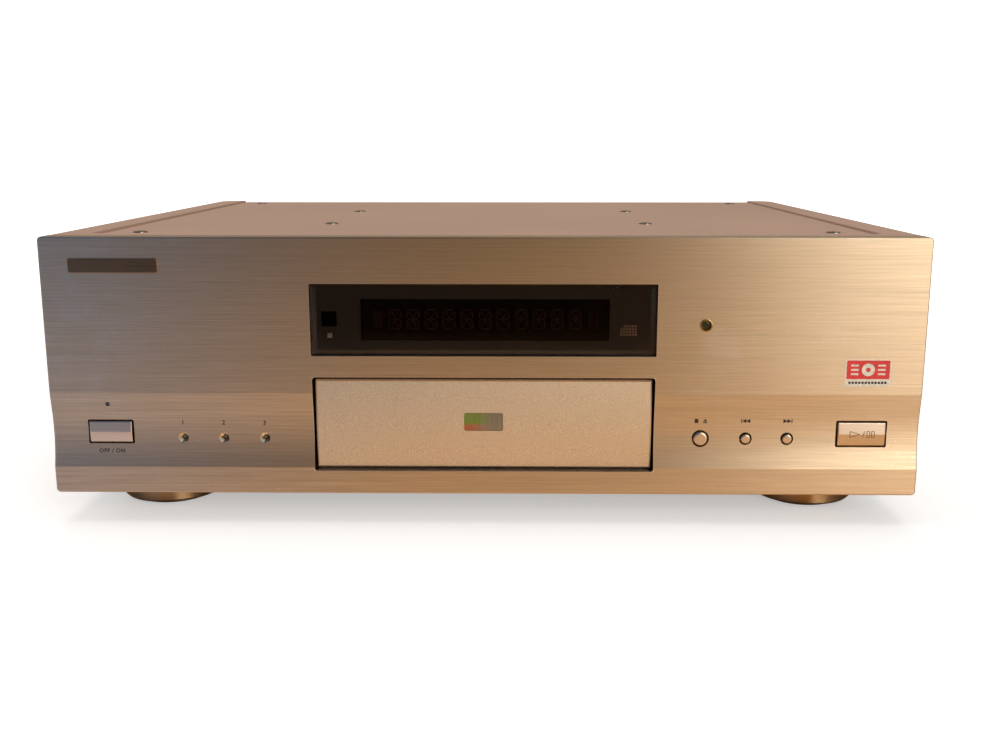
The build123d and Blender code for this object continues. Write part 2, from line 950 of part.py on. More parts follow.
def top_front_strip():
    strip = block(-half, half, panel_thickness, strip_back, strip_under, rail_top)
    return fillet(
        edges_at(strip, lambda c: near(abs(c.X), half) and near(c.Z, rail_top)), rail_round
    )


def top_screw_places():
    """Corner screws over the ledges, then the screws over the beams."""
    places = []
    for x in (corner_screw_inset - half, half - corner_screw_inset):
        for y in (corner_screw_front, body_depth - corner_screw_back):
            places.append((x, y))
    for x in (-beam_screw_x, beam_screw_x):
        for y in beam_screw_ys:
            places.append((x, y))
    return places


def top_plate():
    """Centre of the top, with a lip over the rear panel and a dimple at each screw."""
    left = rail_width + plate_gap_left - half
    right = half - rail_width - plate_gap_right
    plate = block(left, right, strip_back + seam, body_depth, plate_under, plate_top)
    plate += block(left, right, rear_face, body_depth, plate_top - rear_lip_height, plate_top)
    back_edge = edges_at(plate, lambda c: near(c.Y, body_depth) and near(c.Z, plate_top))
    plate = fillet(back_edge, rail_round)
    floor = plate_top - top_dimple_depth
    for x, y in top_screw_places():
        dimple = Cone(top_dimple_floor, top_dimple_radius, top_dimple_depth)
        plate -= Pos(x, y, (floor + plate_top) / 2) * dimple
        plate -= post_z(x, y, plate_under - over, floor + 0.1, screw_radius + clearance)
    for x in rear_screw_xs:
        plate -= rod_y(x, upper_screw_z, rear_face - over, body_depth + over, screw_radius + clearance)
    return plate


def top_screws():
    floor = plate_top - top_dimple_depth
    return [screw(facing_up(x, y, floor), screw_length) for x, y in top_screw_places()]


def rear_screw_places():
    """Upper row through the top plate's lip, lower row into the pan's flange."""
    upper = [(x, body_depth, upper_screw_z) for x in rear_screw_xs]
    lower = [(x, rear_face, lower_screw_z) for x in rear_screw_xs]
    return upper + lower


def rear_screws():
    return [screw(facing_back(*place), screw_length) for place in rear_screw_places()]


def rear_panel():
    """Rear sheet with holes for the sockets, the inlet and the screws."""
    reach = half - rear_round
    sheet_back = block(-reach, reach, rear_inner, rear_face, pan_top, ledge_under)
    front = rear_inner - over
    back = rear_face + over
    cuts = [rod_y(x, z, front, back, screw_radius + hole_clearance)
            for x, _, z in rear_screw_places()]
    cuts += [rod_y(x, z, front, back, rca_radius + clearance) for x, z in rca_places]
    cuts += [rod_y(x, z, front, back, s_video_radius + clearance) for x, z in s_video_places]
    wide = inlet_cavity[0] + 2 * (inlet_wall + clearance)
    high = inlet_cavity[1] + 2 * (inlet_wall + clearance)
    cuts.append(slab_xz(inlet_x, inlet_z, wide, high, front, back, inlet_round))
    for cut in cuts:
        sheet_back -= cut
    return sheet_back


def board_spots(x0, x1, y0, y1):
    """Stand-off centres near the corners of a board."""
    inset = standoff_inset
    return [(x, y) for x in (x0 + inset, x1 - inset) for y in (y0 + inset, y1 - inset)]


def bottom_pan():
    """Folded base with a low flange all round, board stand-offs and foot screw holes."""
    front = frame_back
    corner = rear_round - side_sheet
    pan = plan_block(
        inner_half, front, rear_inner, pan_lift, pan_lift + pan_flange, corner
    )
    pan -= plan_block(
        inner_half - sheet, front + sheet, rear_inner - sheet, pan_top,
        pan_lift + pan_flange + over, corner - sheet,
    )
    for area in (power_board_area, audio_board_area, main_board_area):
        for x, y in board_spots(*area):
            pan += post_z(x, y, pan_top, board_z, standoff_radius)
    for x in (-foot_x, foot_x):
        for y in foot_ys:
            pan -= post_z(x, y, pan_lift - over, pan_top + over, screw_radius + hole_clearance)
    for x in rear_screw_xs:
        hole = screw_radius + hole_clearance
        pan -= rod_y(x, lower_screw_z, rear_inner - sheet - over, rear_inner + over, hole)
    return pan


def chassis_beams():
    """Two partitions beside the loader that stand on the pan and carry the top plate."""
    back = rear_inner - sheet - slip
    beams = []
    for side in (-1, 1):
        wall = block(
            side * beam_x, side * (beam_x + sheet), beam_front, back, pan_top, plate_under
        )
        wall += block(
            side * (beam_x - beam_flange), side * beam_x, beam_front, back,
            plate_under - sheet, plate_under,
        )
        wall += block(
            side * (beam_x + sheet), side * (beam_x + sheet + beam_flange), beam_front, back,
            pan_top, pan_top + sheet,
        )
        for y in beam_screw_ys:
            hole = screw_radius + hole_clearance
            wall -= post_z(side * beam_screw_x, y, plate_under - sheet - over, plate_under + over, hole)
        beams.append(wall)
    return beams


def foot(x, y):
    """Turned foot with a shallow waist and a recess for its pad."""
    high = (pan_lift + foot_bottom) / 2
    outline = Polyline(
        (0, pan_lift), (foot_radius, pan_lift), (foot_radius, high + foot_waist),
        (foot_radius - foot_waist, high), (foot_radius, high - foot_waist),
        (foot_radius, foot_bottom + foot_chamfer), (foot_radius - foot_chamfer, foot_bottom),
        (pad_radius, foot_bottom), (pad_radius, foot_floor), (0, foot_floor), close=True,
    )
    turned = revolve(make_face(Plane.XZ * outline), Axis.Z)
    turned -= post_z(0, 0, foot_floor - over, pan_lift - screw_length / 2, screw_head_radius + slip)
    turned -= post_z(0, 0, foot_floor, pan_lift + over, screw_radius + hole_clearance)
    return Pos(x, y, 0) * turned


def foot_places():
    return [(x, y) for x in (-foot_x, foot_x) for y in foot_ys]


def feet():
    return [foot(x, y) for x, y in foot_places()]


def foot_pads():
    """A ring of rubber in each foot's recess."""
    pads = []
    for x, y in foot_places():
        ring = post_z(x, y, -foot_height, foot_floor, pad_radius - hole_clearance)
        pads.append(ring - post_z(x, y, -foot_height - over, foot_floor + over, pad_bore))
    return pads


def foot_screws():
    seat = pan_lift - screw_length / 2
    return [screw(facing_down(x, y, seat), screw_length) for x, y in foot_places()]


# Tray and door

def tray():
    """Disc tray with its front wall, side rails, disc wells, pickup slot and toothed rack."""
    back_of_wall = tray_front + front_wall
    body = block(-tray_half, tray_half, back_of_wall, tray_back, tray_under, tray_top)
    body += block(
        -front_wall_half, front_wall_half, tray_front, back_of_wall,
        front_wall_bottom, front_wall_top,
    )
    for side in (-1, 1):
        body += block(
            side * tray_half, side * (tray_half + rail_reach), rail_front, tray_back,
            tray_under, tray_under + rail_height,
        )
    root = rack_module * dedendum_share
    body += rack(
        rack_x, rack_first, tray_back - rack_end, drive_y, rack_bottom, tray_under,
        rack_module, 1, rack_spine - root,
    )
    top = tray_top + over
    body -= post_z(0, spindle_y, disc_floor, top, disc_recess_radius)
    body -= post_z(0, spindle_y, disc_floor - small_disc_step, top, small_disc_radius)
    for side in (-1, 1):
        grip = post_z(side * (disc_recess_radius - grip_radius / 2), spindle_y,
                      disc_floor, top, grip_radius)
        body -= grip & block(tray_rim - tray_half, tray_half - tray_rim, 0, tray_back, 0, top)
    body -= post_z(0, spindle_y, tray_under - over, top, slot_half)
    body -= block(-slot_half, slot_half, spindle_y, tray_back + over, tray_under - over, top)
    for x in (-door_screw_x, door_screw_x):
        hole = screw_radius + hole_clearance
        body -= rod_y(x, door_screw_z, tray_front - over, back_of_wall + over, hole)
    return body


def tray_door():
    """Metal door with a crowned front, bevelled edges and a recess for its badge."""
    high = door_opening_top - door_opening_bottom - 2 * door_edge_gap
    reach = door_opening_width / 2 - door_side_gap
    z = (door_opening_bottom + door_opening_top) / 2
    radius = ((high / 2) ** 2 + door_crown ** 2) / (2 * door_crown)
    door = block(-reach, reach, door_setback, tray_front, z - high / 2, z + high / 2)
    door &= Pos(0, door_setback + radius, z) * Rot(0, 90, 0) * Cylinder(radius, 2 * (reach + over))
    rim = door.faces().sort_by(Axis.Y)[0].edges()
    door = chamfer(rim, door_bevel)
    door -= slab_xz(
        0, badge_z, badge_width, badge_height, door_setback - over, door_setback + badge_recess,
        badge_round,
    )
    shank = screw_length - front_wall + hole_clearance
    for x in (-door_screw_x, door_screw_x):
        hole = screw_radius + hole_clearance
        door -= rod_y(x, door_screw_z, tray_front - shank / 2, tray_front + over, hole)
    return door


def door_badge():
    """Thin foil plate in the door's recess."""
    back = door_setback + badge_recess
    slack = 2 * hole_clearance
    return slab_xz(
        0, badge_z, badge_width - slack, badge_height - slack, back - badge_thickness, back,
        badge_round,
    )


def door_screws():
    seat = tray_front + front_wall
    length = front_wall + (screw_length - front_wall) / 2
    return [screw(facing_back(x, seat, door_screw_z), length)
            for x in (-door_screw_x, door_screw_x)]


# Loader

def loader_chassis():
    """Moulded chassis: walls, floor, tray guides, axle posts, motor deck and traverse pivots."""
    outer = loader_inner + loader_wall
    body = block(-outer, outer, loader_front, loader_back, pan_top, loader_top)
    body -= block(
        -loader_inner, loader_inner, loader_front - over, loader_back - loader_wall,
        floor_top, loader_top + over,
    )
    body -= block(
        -loader_inner, loader_inner, loader_front + loader_wall, loader_back - loader_wall,
        pan_top - over, floor_bottom,
    )
    rib_inner = tray_half + clearance
    for side in (-1, 1):
        for z in (guide_low - guide_rib, guide_high):
            body += block(
                side * rib_inner, side * loader_inner, loader_front,
                loader_back - loader_wall, z, z + guide_rib,
            )
        body += block(
            side * pivot_boss_inner, side * loader_inner, pivot_y - pivot_boss_half,
            pivot_y + pivot_boss_half, traverse_z - pivot_boss_half,
            traverse_z + pivot_boss_half,
        )
        x0, x1 = sorted((side * (pivot_boss_inner - over), side * (loader_inner + slip)))
        body -= rod_x(pivot_y, traverse_z, x0, x1, pivot_radius + pin_clearance)
    boss = axle_radius + hub_wall
    body += post_z(drive_x, drive_y, floor_top, drive_wheel_bottom - slip, boss)
    body += post_z(drive_x, drive_y, floor_top, tray_under - axle_under_tray, axle_radius)
    body += post_z(pulley_x, drive_y, floor_top, pulley_bottom - slip, boss)
    body += post_z(pulley_x, drive_y, floor_top, drive_wheel_bottom + pulley_axle_reach, axle_radius)
    for side in (-1, 1):
        rib_y = cam_y + cam_thickness / 2 + side * (cam_thickness / 2 + slip + cam_rib / 2)
        body += block(
            cam_left - slip, cam_right + cam_travel + slip, rib_y - cam_rib / 2,
            rib_y + cam_rib / 2, floor_top, floor_top + cam_rib_height,
        )
    reach = loading_motor_radius + deck_post / 2
    deck = block(
        loading_motor_x - reach, loading_motor_x + reach, drive_y - reach, drive_y + reach,
        deck_bottom, deck_top,
    )
    deck -= post_z(
        loading_motor_x, drive_y, deck_bottom - over, deck_top + over,
        motor_shaft_radius + motor_collar,
    )
    body += deck
    for dx in (-reach + deck_post, reach - deck_post):
        for dy in (-reach + deck_post, reach - deck_post):
            body += post_z(
                loading_motor_x + dx, drive_y + dy, floor_top, deck_bottom, deck_post
            )
    return body


def clamp_bridge():
    """Pressed bridge over the tray, with the clamper's hole."""
    outer = loader_inner + loader_wall
    top = loader_top + bridge_sheet
    body = block(
        -outer, outer, spindle_y - bridge_half, spindle_y + bridge_half, loader_top, top
    )
    for side in (-1, 1):
        edge = spindle_y + side * bridge_half
        body += block(
            -outer, outer, edge, edge - side * sheet, loader_top, top + bridge_flange
        )
    return body - post_z(
        0, spindle_y, loader_top - over, top + over, clamper_radius + 2 * clearance
    )


def clamper():
    """Magnetic puck that hangs in the bridge over the turntable."""
    seat = loader_top + bridge_sheet + slip
    bottom = disc_plane + clamper_gap
    puck = post_z(0, spindle_y, bottom, seat, clamper_radius)
    puck = chamfer(edges_at(puck, lambda c: near(c.Z, bottom)), clearance)
    puck += post_z(0, spindle_y, seat, seat + clamper_flange, clamper_flange_radius)
    hub_space = disc_plane + hub_height + clamper_gap
    return puck - post_z(0, spindle_y, bottom - over, hub_space, hub_radius + clamper_gap)


def loading_motor():
    """Small can motor above its deck."""
    can = post_z(
        loading_motor_x, drive_y, deck_top, deck_top + loading_motor_height,
        loading_motor_radius,
    )
    can = fillet(
        edges_at(can, lambda c: near(c.Z, deck_top + loading_motor_height)), motor_round
    )
    hole = motor_shaft_radius + pin_clearance
    return can - post_z(
        loading_motor_x, drive_y, deck_top - over, deck_top + motor_shaft_reach + over, hole
    )


def motor_pulley():
    """Grooved pulley on the loading motor's shaft."""
    wheel = pulley_wheel(loading_motor_x, motor_pulley_radius, motor_pulley_groove)
    return wheel + post_z(
        loading_motor_x, drive_y, pulley_top, deck_top + motor_shaft_reach, motor_shaft_radius
    )


def pulley_wheel(x, radius, groove):
    wheel = post_z(x, drive_y, pulley_bottom, pulley_top, radius)
    low = belt_z - clearance
    high = belt_z + belt_section + clearance
    return wheel - (post_z(x, drive_y, low, high, radius + over)
                    - post_z(x, drive_y, low, high, groove))


def pulley_gear():
    """Belt pulley with a pinion on top."""
    wheel = pulley_wheel(pulley_x, pulley_radius, pulley_groove)
    top = drive_wheel_bottom + drive_wheel_face
    wheel += gear(
        pulley_x, drive_y, drive_wheel_bottom, top, pulley_pinion_teeth, train_module, 180
    )
    wheel += post_z(pulley_x, drive_y, pulley_top, drive_wheel_bottom, axle_radius + hub_wall)
    bore = axle_radius + pin_clearance
    return wheel - post_z(pulley_x, drive_y, pulley_bottom - over, top + over, bore)


def drive_gear():
    """Large wheel turned by the pulley's pinion, with the pinion that moves the tray's rack."""
    wheel_top = drive_wheel_bottom + drive_wheel_face
    rack_top = tray_under - pinion_under_tray
    gap_phase = 180 / drive_wheel_teeth
    body = gear(
        drive_x, drive_y, drive_wheel_bottom, wheel_top, drive_wheel_teeth, train_module,
        gap_phase,
    )
    body += gear(
        drive_x, drive_y, wheel_top, rack_top, drive_pinion_teeth, rack_module, 180
    )
    bore = axle_radius + pin_clearance
    return body - post_z(drive_x, drive_y, drive_wheel_bottom - over, rack_top + over, bore)


def belt_loop(offset, z0, z1):
    """Area inside a line stretched round both pulleys, thickened by an offset."""
    big = pulley_groove + slip + offset
    small = motor_pulley_groove + slip + offset
    centres = loading_motor_x - pulley_x
    lean = math.asin((big - small) / centres)
    reach_y = math.cos(lean)
    reach_x = math.sin(lean)
    sides = Polyline(
        (pulley_x + big * reach_x, drive_y + big * reach_y),
        (loading_motor_x + small * reach_x, drive_y + small * reach_y),
        (loading_motor_x + small * reach_x, drive_y - small * reach_y),
        (pulley_x + big * reach_x, drive_y - big * reach_y), close=True,
    )
    middle = Pos(0, 0, z0) * extrude(make_face(sides), z1 - z0)
    middle += post_z(pulley_x, drive_y, z0, z1, big)
    return middle + post_z(loading_motor_x, drive_y, z0, z1, small)


def drive_belt():
    top = belt_z + belt_section
    return belt_loop(belt_section, belt_z, top) - belt_loop(0, belt_z - over, top + over)


# Traverse

def cam_slider():
    """Upright plate with a slanted slot that raises and lowers the traverse."""
    back = cam_y + cam_thickness
    plate = block(cam_left, cam_right, cam_y, back, floor_top + slip, cam_top)
    radius = cam_pin_radius + cam_pin_gap
    low_x = cam_pin_x - cam_travel
    low_z = traverse_z - cam_drop
    lean = math.atan2(cam_drop, cam_travel)
    across = (-radius * math.sin(lean), radius * math.cos(lean))
    slot = Polyline(
        (cam_pin_x + across[0], traverse_z + across[1]),
        (low_x + across[0], low_z + across[1]),
        (low_x - across[0], low_z - across[1]),
        (cam_pin_x - across[0], traverse_z - across[1]), close=True,
    )
    groove = Pos(0, back + over, 0) * extrude(make_face(Plane.XZ * slot), cam_thickness + 2 * over)
    groove += rod_y(cam_pin_x, traverse_z, cam_y - over, back + over, radius)
    groove += rod_y(low_x, low_z, cam_y - over, back + over, radius)
    return plate - groove


def traverse_plate():
    """Pressed plate that carries the spindle, the pickup's rods and the sled drive."""
    plate = block(
        -traverse_half, traverse_half, traverse_front, traverse_back,
        traverse_bottom, traverse_top,
    )
    plate -= block(
        -sled_window_half, sled_window_half, sled_window_front, sled_window_back,
        traverse_bottom - over, traverse_top + over,
    )
    for side in (-1, 1):
        plate += block(
            side * (traverse_half - pivot_block_width), side * traverse_half,
            pivot_y - pivot_block_reach, traverse_back,
            traverse_z - pivot_radius, traverse_z + pivot_radius,
        )
        x0, x1 = sorted((side * traverse_half, side * (loader_inner - pivot_pin_gap)))
        plate += rod_x(pivot_y, traverse_z, x0, x1, pivot_radius)
        for y in (sled_window_front - rod_ear + rod_ear_overlap, sled_window_back):
            plate += block(
                side * guide_rod_x - rod_ear_half, side * guide_rod_x + rod_ear_half,
                y, y + rod_ear, guide_rod_z - rod_ear_half, traverse_bottom,
            )
        plate -= rod_y(
            side * guide_rod_x, guide_rod_z, sled_window_front - rod_ear,
            sled_window_back + rod_ear + over, guide_rod_radius + hole_clearance / 2,
        )
    plate += rod_y(
        cam_pin_x, traverse_z, cam_y - cam_thickness / 2, traverse_front, cam_pin_radius
    )
    plate += post_z(
        sled_gear_x, sled_gear_y, sled_wheel_bottom - slip, traverse_bottom, guide_rod_radius
    )
    return plate


def guide_rods():
    front = sled_window_front - rod_ear + rod_ear_overlap
    back = sled_window_back + rod_ear
    return [rod_y(side * guide_rod_x, guide_rod_z, front, back, guide_rod_radius)
            for side in (-1, 1)]


def spindle_motor():
    top = traverse_top + spindle_motor_height
    can = post_z(0, spindle_y, traverse_top, top, spindle_motor_radius)
    can = fillet(edges_at(can, lambda c: near(c.Z, top)), motor_round)
    hole = spindle_radius + pin_clearance
    return can - post_z(0, spindle_y, traverse_top + spindle_floor, top + over, hole)


def turntable():
    """Platter and centring hub on the spindle."""
    motor_top = traverse_top + spindle_motor_height
    platter_bottom = disc_plane - turntable_platter
    body = post_z(0, spindle_y, platter_bottom, disc_plane, turntable_radius)
    body += post_z(0, spindle_y, motor_top + turntable_gap, platter_bottom, turntable_neck)
    body += post_z(0, spindle_y, traverse_top + spindle_floor + slip,
                   motor_top + turntable_gap, spindle_radius)
    hub = Cone(hub_radius, hub_tip_radius, hub_height)
    return body + Pos(0, spindle_y, disc_plane + hub_height / 2) * hub


def pickup_sled():
    """Optical block on the guide rods, with the rack that drives it."""
    back = sled_front + sled_length
    body = block(-sled_half, sled_half, sled_front, back, sled_bottom, sled_top)
    body += block(
        -actuator_half, actuator_half, actuator_front, actuator_back, sled_top, actuator_top
    )
    root = sled_module * dedendum_share
    rack_z = guide_rod_z - sled_rack_face / 2
    body += rack(
        sled_rack_x, sled_front - sled_rack_lead, back, sled_gear_y, rack_z,
        rack_z + sled_rack_face, sled_module, -1, abs(sled_rack_x) - root - sled_half + sled_rack_bite,
    )
    for side in (-1, 1):
        body -= rod_y(
            side * guide_rod_x, guide_rod_z, sled_front - over, back + over,
            guide_rod_radius + pin_clearance,
        )
    well_floor = actuator_top - lens_height + lens_well
    return body - post_z(
        0, lens_y, well_floor - lens_well, actuator_top + over, lens_radius + lens_side_gap
    )


def objective_lens():
    """Lens holder that floats in the actuator's well."""
    bottom = actuator_top - lens_height + lens_well
    holder = post_z(0, lens_y, bottom, bottom + lens_height, lens_radius)
    dome = Pos(0, lens_y, bottom + lens_height) * Sphere(lens_dome_radius)
    return holder + dome & block(
        -lens_radius, lens_radius, lens_y - lens_radius, lens_y + lens_radius,
        bottom, bottom + lens_height + lens_dome_height,
    )


def sled_gear():
    """Pinion on the sled's rack, with a larger wheel below."""
    rack_z = guide_rod_z - sled_rack_face / 2
    wheel_gap = 180 / sled_wheel_teeth
    pinion = gear(
        sled_gear_x, sled_gear_y, sled_wheel_top, rack_z + sled_rack_face + slip,
        sled_pinion_teeth, sled_module, 0,
    )
    pinion += gear(
        sled_gear_x, sled_gear_y, sled_wheel_bottom, sled_wheel_top, sled_wheel_teeth,
        sled_module, sled_motor_direction + wheel_gap,
    )
    bore = guide_rod_radius + pin_clearance
    return pinion - post_z(sled_gear_x, sled_gear_y, sled_wheel_bottom - over, traverse_top, bore)


def sled_motor():
    can = post_z(
        sled_motor_x, sled_motor_y, sled_wheel_top + 2 * slip, traverse_bottom,
        sled_motor_radius,
    )
    hole = sled_shaft_radius + pin_clearance
    return can - post_z(
        sled_motor_x, sled_motor_y, sled_wheel_top, traverse_bottom - sled_shaft_end + slip, hole
    )


def sled_motor_gear():
    """Pinion and shaft of the sled motor."""
    body = gear(
        sled_motor_x, sled_motor_y, sled_wheel_bottom, sled_wheel_top, sled_motor_teeth,
        sled_module, sled_motor_direction + 180,
    )
    return body + post_z(
        sled_motor_x, sled_motor_y, sled_wheel_top, traverse_bottom - sled_shaft_end, sled_shaft_radius
    )


# Electrics

def power_transformer():
    """Mains transformer: laminated core, coil and mounting feet."""
    wide, deep, high = transformer_size
    x = (power_board_area[0] + power_board_area[1]) / 2
    y0 = transformer_front
    core = block(
        x - wide / 2, x + wide / 2, y0 + transformer_coil_reach,
        y0 + deep - transformer_coil_reach, pan_top, pan_top + high,
    )
    coil = block(
        x - wide / 4, x + wide / 4, y0, y0 + deep,
        pan_top + transformer_coil_drop, pan_top + high - transformer_coil_drop,
    )
    coil = fillet(
        edges_at(coil, lambda c: near(abs(c.X - x), wide / 4)), transformer_coil_round
    )
    foot_x0 = x - wide / 2 - transformer_foot
    foot_x1 = x + wide / 2 + transformer_foot
    feet_strip = block(
        foot_x0, foot_x1, y0 + transformer_foot_setback,
        y0 + deep - transformer_foot_setback, pan_top, pan_top + sheet,
    )
    return core + coil + feet_strip


def circuit_board(area):
    x0, x1, y0, y1 = area
    return block(x0, x1, y0, y1, board_z, board_z + board)


def power_board():
    return circuit_board(power_board_area)


def power_capacitors():
    x0, x1, y0, y1 = power_board_area
    base = board_z + board
    cans = []
    for u, v in capacitor_spots:
        x = x0 + u * (x1 - x0)
        y = y0 + v * (y1 - y0)
        can = post_z(x, y, base, base + capacitor_height, capacitor_radius)
        cans.append(fillet(edges_at(can, lambda c: near(c.Z, base + capacitor_height)),
                           capacitor_round))
    return cans


def heat_sink():
    """Finned heat sink on the power board."""
    wide, deep, high = heat_sink_size
    x0, x1, y0, y1 = power_board_area
    x = (x0 + x1) / 2
    y = y0 + heat_sink_place * (y1 - y0)
    base = board_z + board
    body = block(x - wide / 2, x + wide / 2, y, y + heat_sink_base, base, base + high)
    fins = int((wide - heat_sink_fin) / heat_sink_pitch) + 1
    first = x - (fins - 1) * heat_sink_pitch / 2
    for number in range(fins):
        middle = first + number * heat_sink_pitch
        body += block(
            middle - heat_sink_fin / 2, middle + heat_sink_fin / 2, y, y + deep,
            base, base + high,
        )
    return body


def board_with_chips(area, chips):
    """A circuit board with its flat chips, each given by place and size as shares."""
    x0, x1, y0, y1 = area
    body = circuit_board(area)
    top = board_z + board
    for u, v, size in chips:
        x = x0 + u * (x1 - x0)
        y = y0 + v * (y1 - y0)
        body += block(x - size, x + size, y - size, y + size, top, top + chip_height)
    return body


def main_board():
    return board_with_chips(
        main_board_area, ((0.3, 0.35, 13.0), (0.62, 0.4, 15.0), (0.82, 0.3, 8.0))
    )


def audio_board():
    return board_with_chips(
        audio_board_area, ((0.3, 0.3, 9.0), (0.7, 0.3, 9.0), (0.5, 0.6, 11.0))
    )


def rca_socket(x, z):
    """Phono socket: a body inside the rear panel, a collar outside and a hollow barrel."""
    reach = rca_body / 2
    body = block(x - reach, x + reach, rear_inner - rca_inside, rear_inner, z - reach, z + reach)
    body += rod_y(x, z, rear_inner, rear_reach, rca_radius)
    body += rod_y(x, z, rear_face, rear_face + rca_nut, rca_nut_radius)
    return body - rod_y(x, z, rear_face, rear_reach + over, rca_bore)


def rca_sockets():
    return [rca_socket(x, z) for x, z in rca_places]


def s_video_socket(x, z):
    """Round four-pin socket with a recessed face."""
    reach = s_video_body / 2
    body = block(x - reach, x + reach, rear_inner - rca_inside, rear_inner, z - reach, z + reach)
    body += rod_y(x, z, rear_inner, rear_face + rca_nut, s_video_radius)
    mouth = rear_face + rca_nut
    return body - rod_y(x, z, mouth - s_video_bore_depth, mouth + over, s_video_bore)


def s_video_sockets():
    return [s_video_socket(x, z) for x, z in s_video_places]


def mains_inlet():
    """Appliance inlet with three blades, screwed to the rear panel."""
    wide, high, deep = inlet_cavity
    mouth = inlet_mouth
    back = mouth - deep
    body = slab_xz(
        inlet_x, inlet_z, wide + 2 * inlet_wall, high + 2 * inlet_wall, back - inlet_wall,
        mouth, inlet_round,
    )
    flange_wide, flange_high, flange_depth = inlet_flange
    body += slab_xz(
        inlet_x, inlet_z, flange_wide, flange_high, mouth - flange_depth, mouth,
        inlet_flange_round,
    )
    body -= slab_xz(inlet_x, inlet_z, wide, high, back, mouth + over, inlet_round)
    blade_wide, blade_high, blade_long = inlet_blade
    spots = (
        (0, inlet_blade_offset),
        (-inlet_line_spread, -inlet_blade_offset),
        (inlet_line_spread, -inlet_blade_offset),
    )
    for dx, dz in spots:
        x = inlet_x + dx
        z = inlet_z + dz
        body += block(
            x - blade_wide / 2, x + blade_wide / 2, back - inlet_wall / 2, back + blade_long,
            z - blade_high / 2, z + blade_high / 2,
        )
    return body


pieces = {
    "front_panel": front_panel,
    "display_window": display_window,
    "vfd_display": vfd_display,
    "remote_sensor": remote_sensor,
    "front_frame": front_frame,
    "front_board": front_board,
    "tact_switches": tact_switches,
    "power_button": power_button,
    "play_button": play_button,
    "stop_eject_button": lambda: knob_button(*knob_buttons()[0]),
    "previous_button": lambda: knob_button(*knob_buttons()[1]),
    "next_button": lambda: knob_button(*knob_buttons()[2]),
    "standby_led": standby_led,
    "status_leds": status_leds,
    "indicator_ring": indicator_ring,
    "indicator_lens": indicator_lens,
    "name_plate": name_plate,
    "left_side_panel": lambda: side_panel(-1),
    "right_side_panel": lambda: side_panel(1),
    "top_front_strip": top_front_strip,
    "top_plate": top_plate,
    "top_screws": top_screws,
    "rear_panel": rear_panel,
    "rear_screws": rear_screws,
    "bottom_pan": bottom_pan,
    "chassis_beams": chassis_beams,
    "feet": feet,
    "foot_pads": foot_pads,
    "foot_screws": foot_screws,
    "tray": tray,
    "tray_door": tray_door,
    "door_badge": door_badge,
    "door_screws": door_screws,
    "loader_chassis": loader_chassis,
    "clamp_bridge": clamp_bridge,
    "clamper": clamper,
    "loading_motor": loading_motor,
    "motor_pulley": motor_pulley,
    "pulley_gear": pulley_gear,
    "drive_gear": drive_gear,
    "drive_belt": drive_belt,
    "cam_slider": cam_slider,
    "traverse_plate": traverse_plate,
    "guide_rods": guide_rods,
    "spindle_motor": spindle_motor,
    "turntable": turntable,
    "pickup_sled": pickup_sled,
    "objective_lens": objective_lens,
    "sled_gear": sled_gear,
    "sled_motor": sled_motor,
    "sled_motor_gear": sled_motor_gear,
    "power_transformer": power_transformer,
    "power_board": power_board,
    "power_capacitors": power_capacitors,
    "heat_sink": heat_sink,
    "main_board": main_board,
    "audio_board": audio_board,
    "rca_sockets": rca_sockets,
    "s_video_sockets": s_video_sockets,
    "mains_inlet": mains_inlet,
}

# Move from the drawing's place to the origin at the bottom centre, and write each piece
to_origin = Pos(0, -(rear_reach - lip_proud) / 2, foot_height)

os.makedirs("parts", exist_ok=True)
for name, make in pieces.items():
    made = make()
    group = made if isinstance(made, list) else [made]
    solids = [to_origin * solid for shape in group for solid in shape.solids()]
    whole = solids[0] if len(solids) == 1 else Compound(solids)
    export_step(whole, "parts/" + name + ".step")
    print(name, len(solids), "solids")
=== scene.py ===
import math
import bmesh
import bpy
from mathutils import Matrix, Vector
from mathutils.bvhtree import BVHTree


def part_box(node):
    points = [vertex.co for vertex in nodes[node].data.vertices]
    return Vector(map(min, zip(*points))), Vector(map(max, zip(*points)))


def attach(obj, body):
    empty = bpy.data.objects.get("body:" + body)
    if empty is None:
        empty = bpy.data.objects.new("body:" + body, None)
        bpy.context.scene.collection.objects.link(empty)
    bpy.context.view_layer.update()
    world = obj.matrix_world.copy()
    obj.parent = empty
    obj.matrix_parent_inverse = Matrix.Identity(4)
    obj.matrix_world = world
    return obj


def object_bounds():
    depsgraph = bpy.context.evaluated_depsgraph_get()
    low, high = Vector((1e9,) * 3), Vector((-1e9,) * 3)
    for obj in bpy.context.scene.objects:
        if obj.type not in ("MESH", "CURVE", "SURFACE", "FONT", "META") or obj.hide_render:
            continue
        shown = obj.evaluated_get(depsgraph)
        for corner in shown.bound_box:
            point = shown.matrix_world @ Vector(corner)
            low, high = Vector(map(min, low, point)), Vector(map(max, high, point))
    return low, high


# A hi-fi DVD player with a brushed champagne front. Lengths are in metres, in the CAD frame.
# Materials for the CAD nodes come first, then thin prints and rings, then the studio.

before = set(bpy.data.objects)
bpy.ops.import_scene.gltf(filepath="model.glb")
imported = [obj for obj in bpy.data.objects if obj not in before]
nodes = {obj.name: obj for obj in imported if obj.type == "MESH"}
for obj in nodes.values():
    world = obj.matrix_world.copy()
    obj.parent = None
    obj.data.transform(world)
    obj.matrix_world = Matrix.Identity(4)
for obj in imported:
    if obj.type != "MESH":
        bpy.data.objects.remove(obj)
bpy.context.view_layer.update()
MM = 0.001

# Camera, fitted to the photograph
IMAGE_WIDTH = 1000
FOCAL_PIXELS = 1112.55
SENSOR_WIDTH = 36.0
CAMERA_PLACE = (0.015113, -0.697515, 0.183018)
CAMERA_PITCH = 11.7456
CAMERA_YAW = 0.7836
CAMERA_ROLL = 0.0089

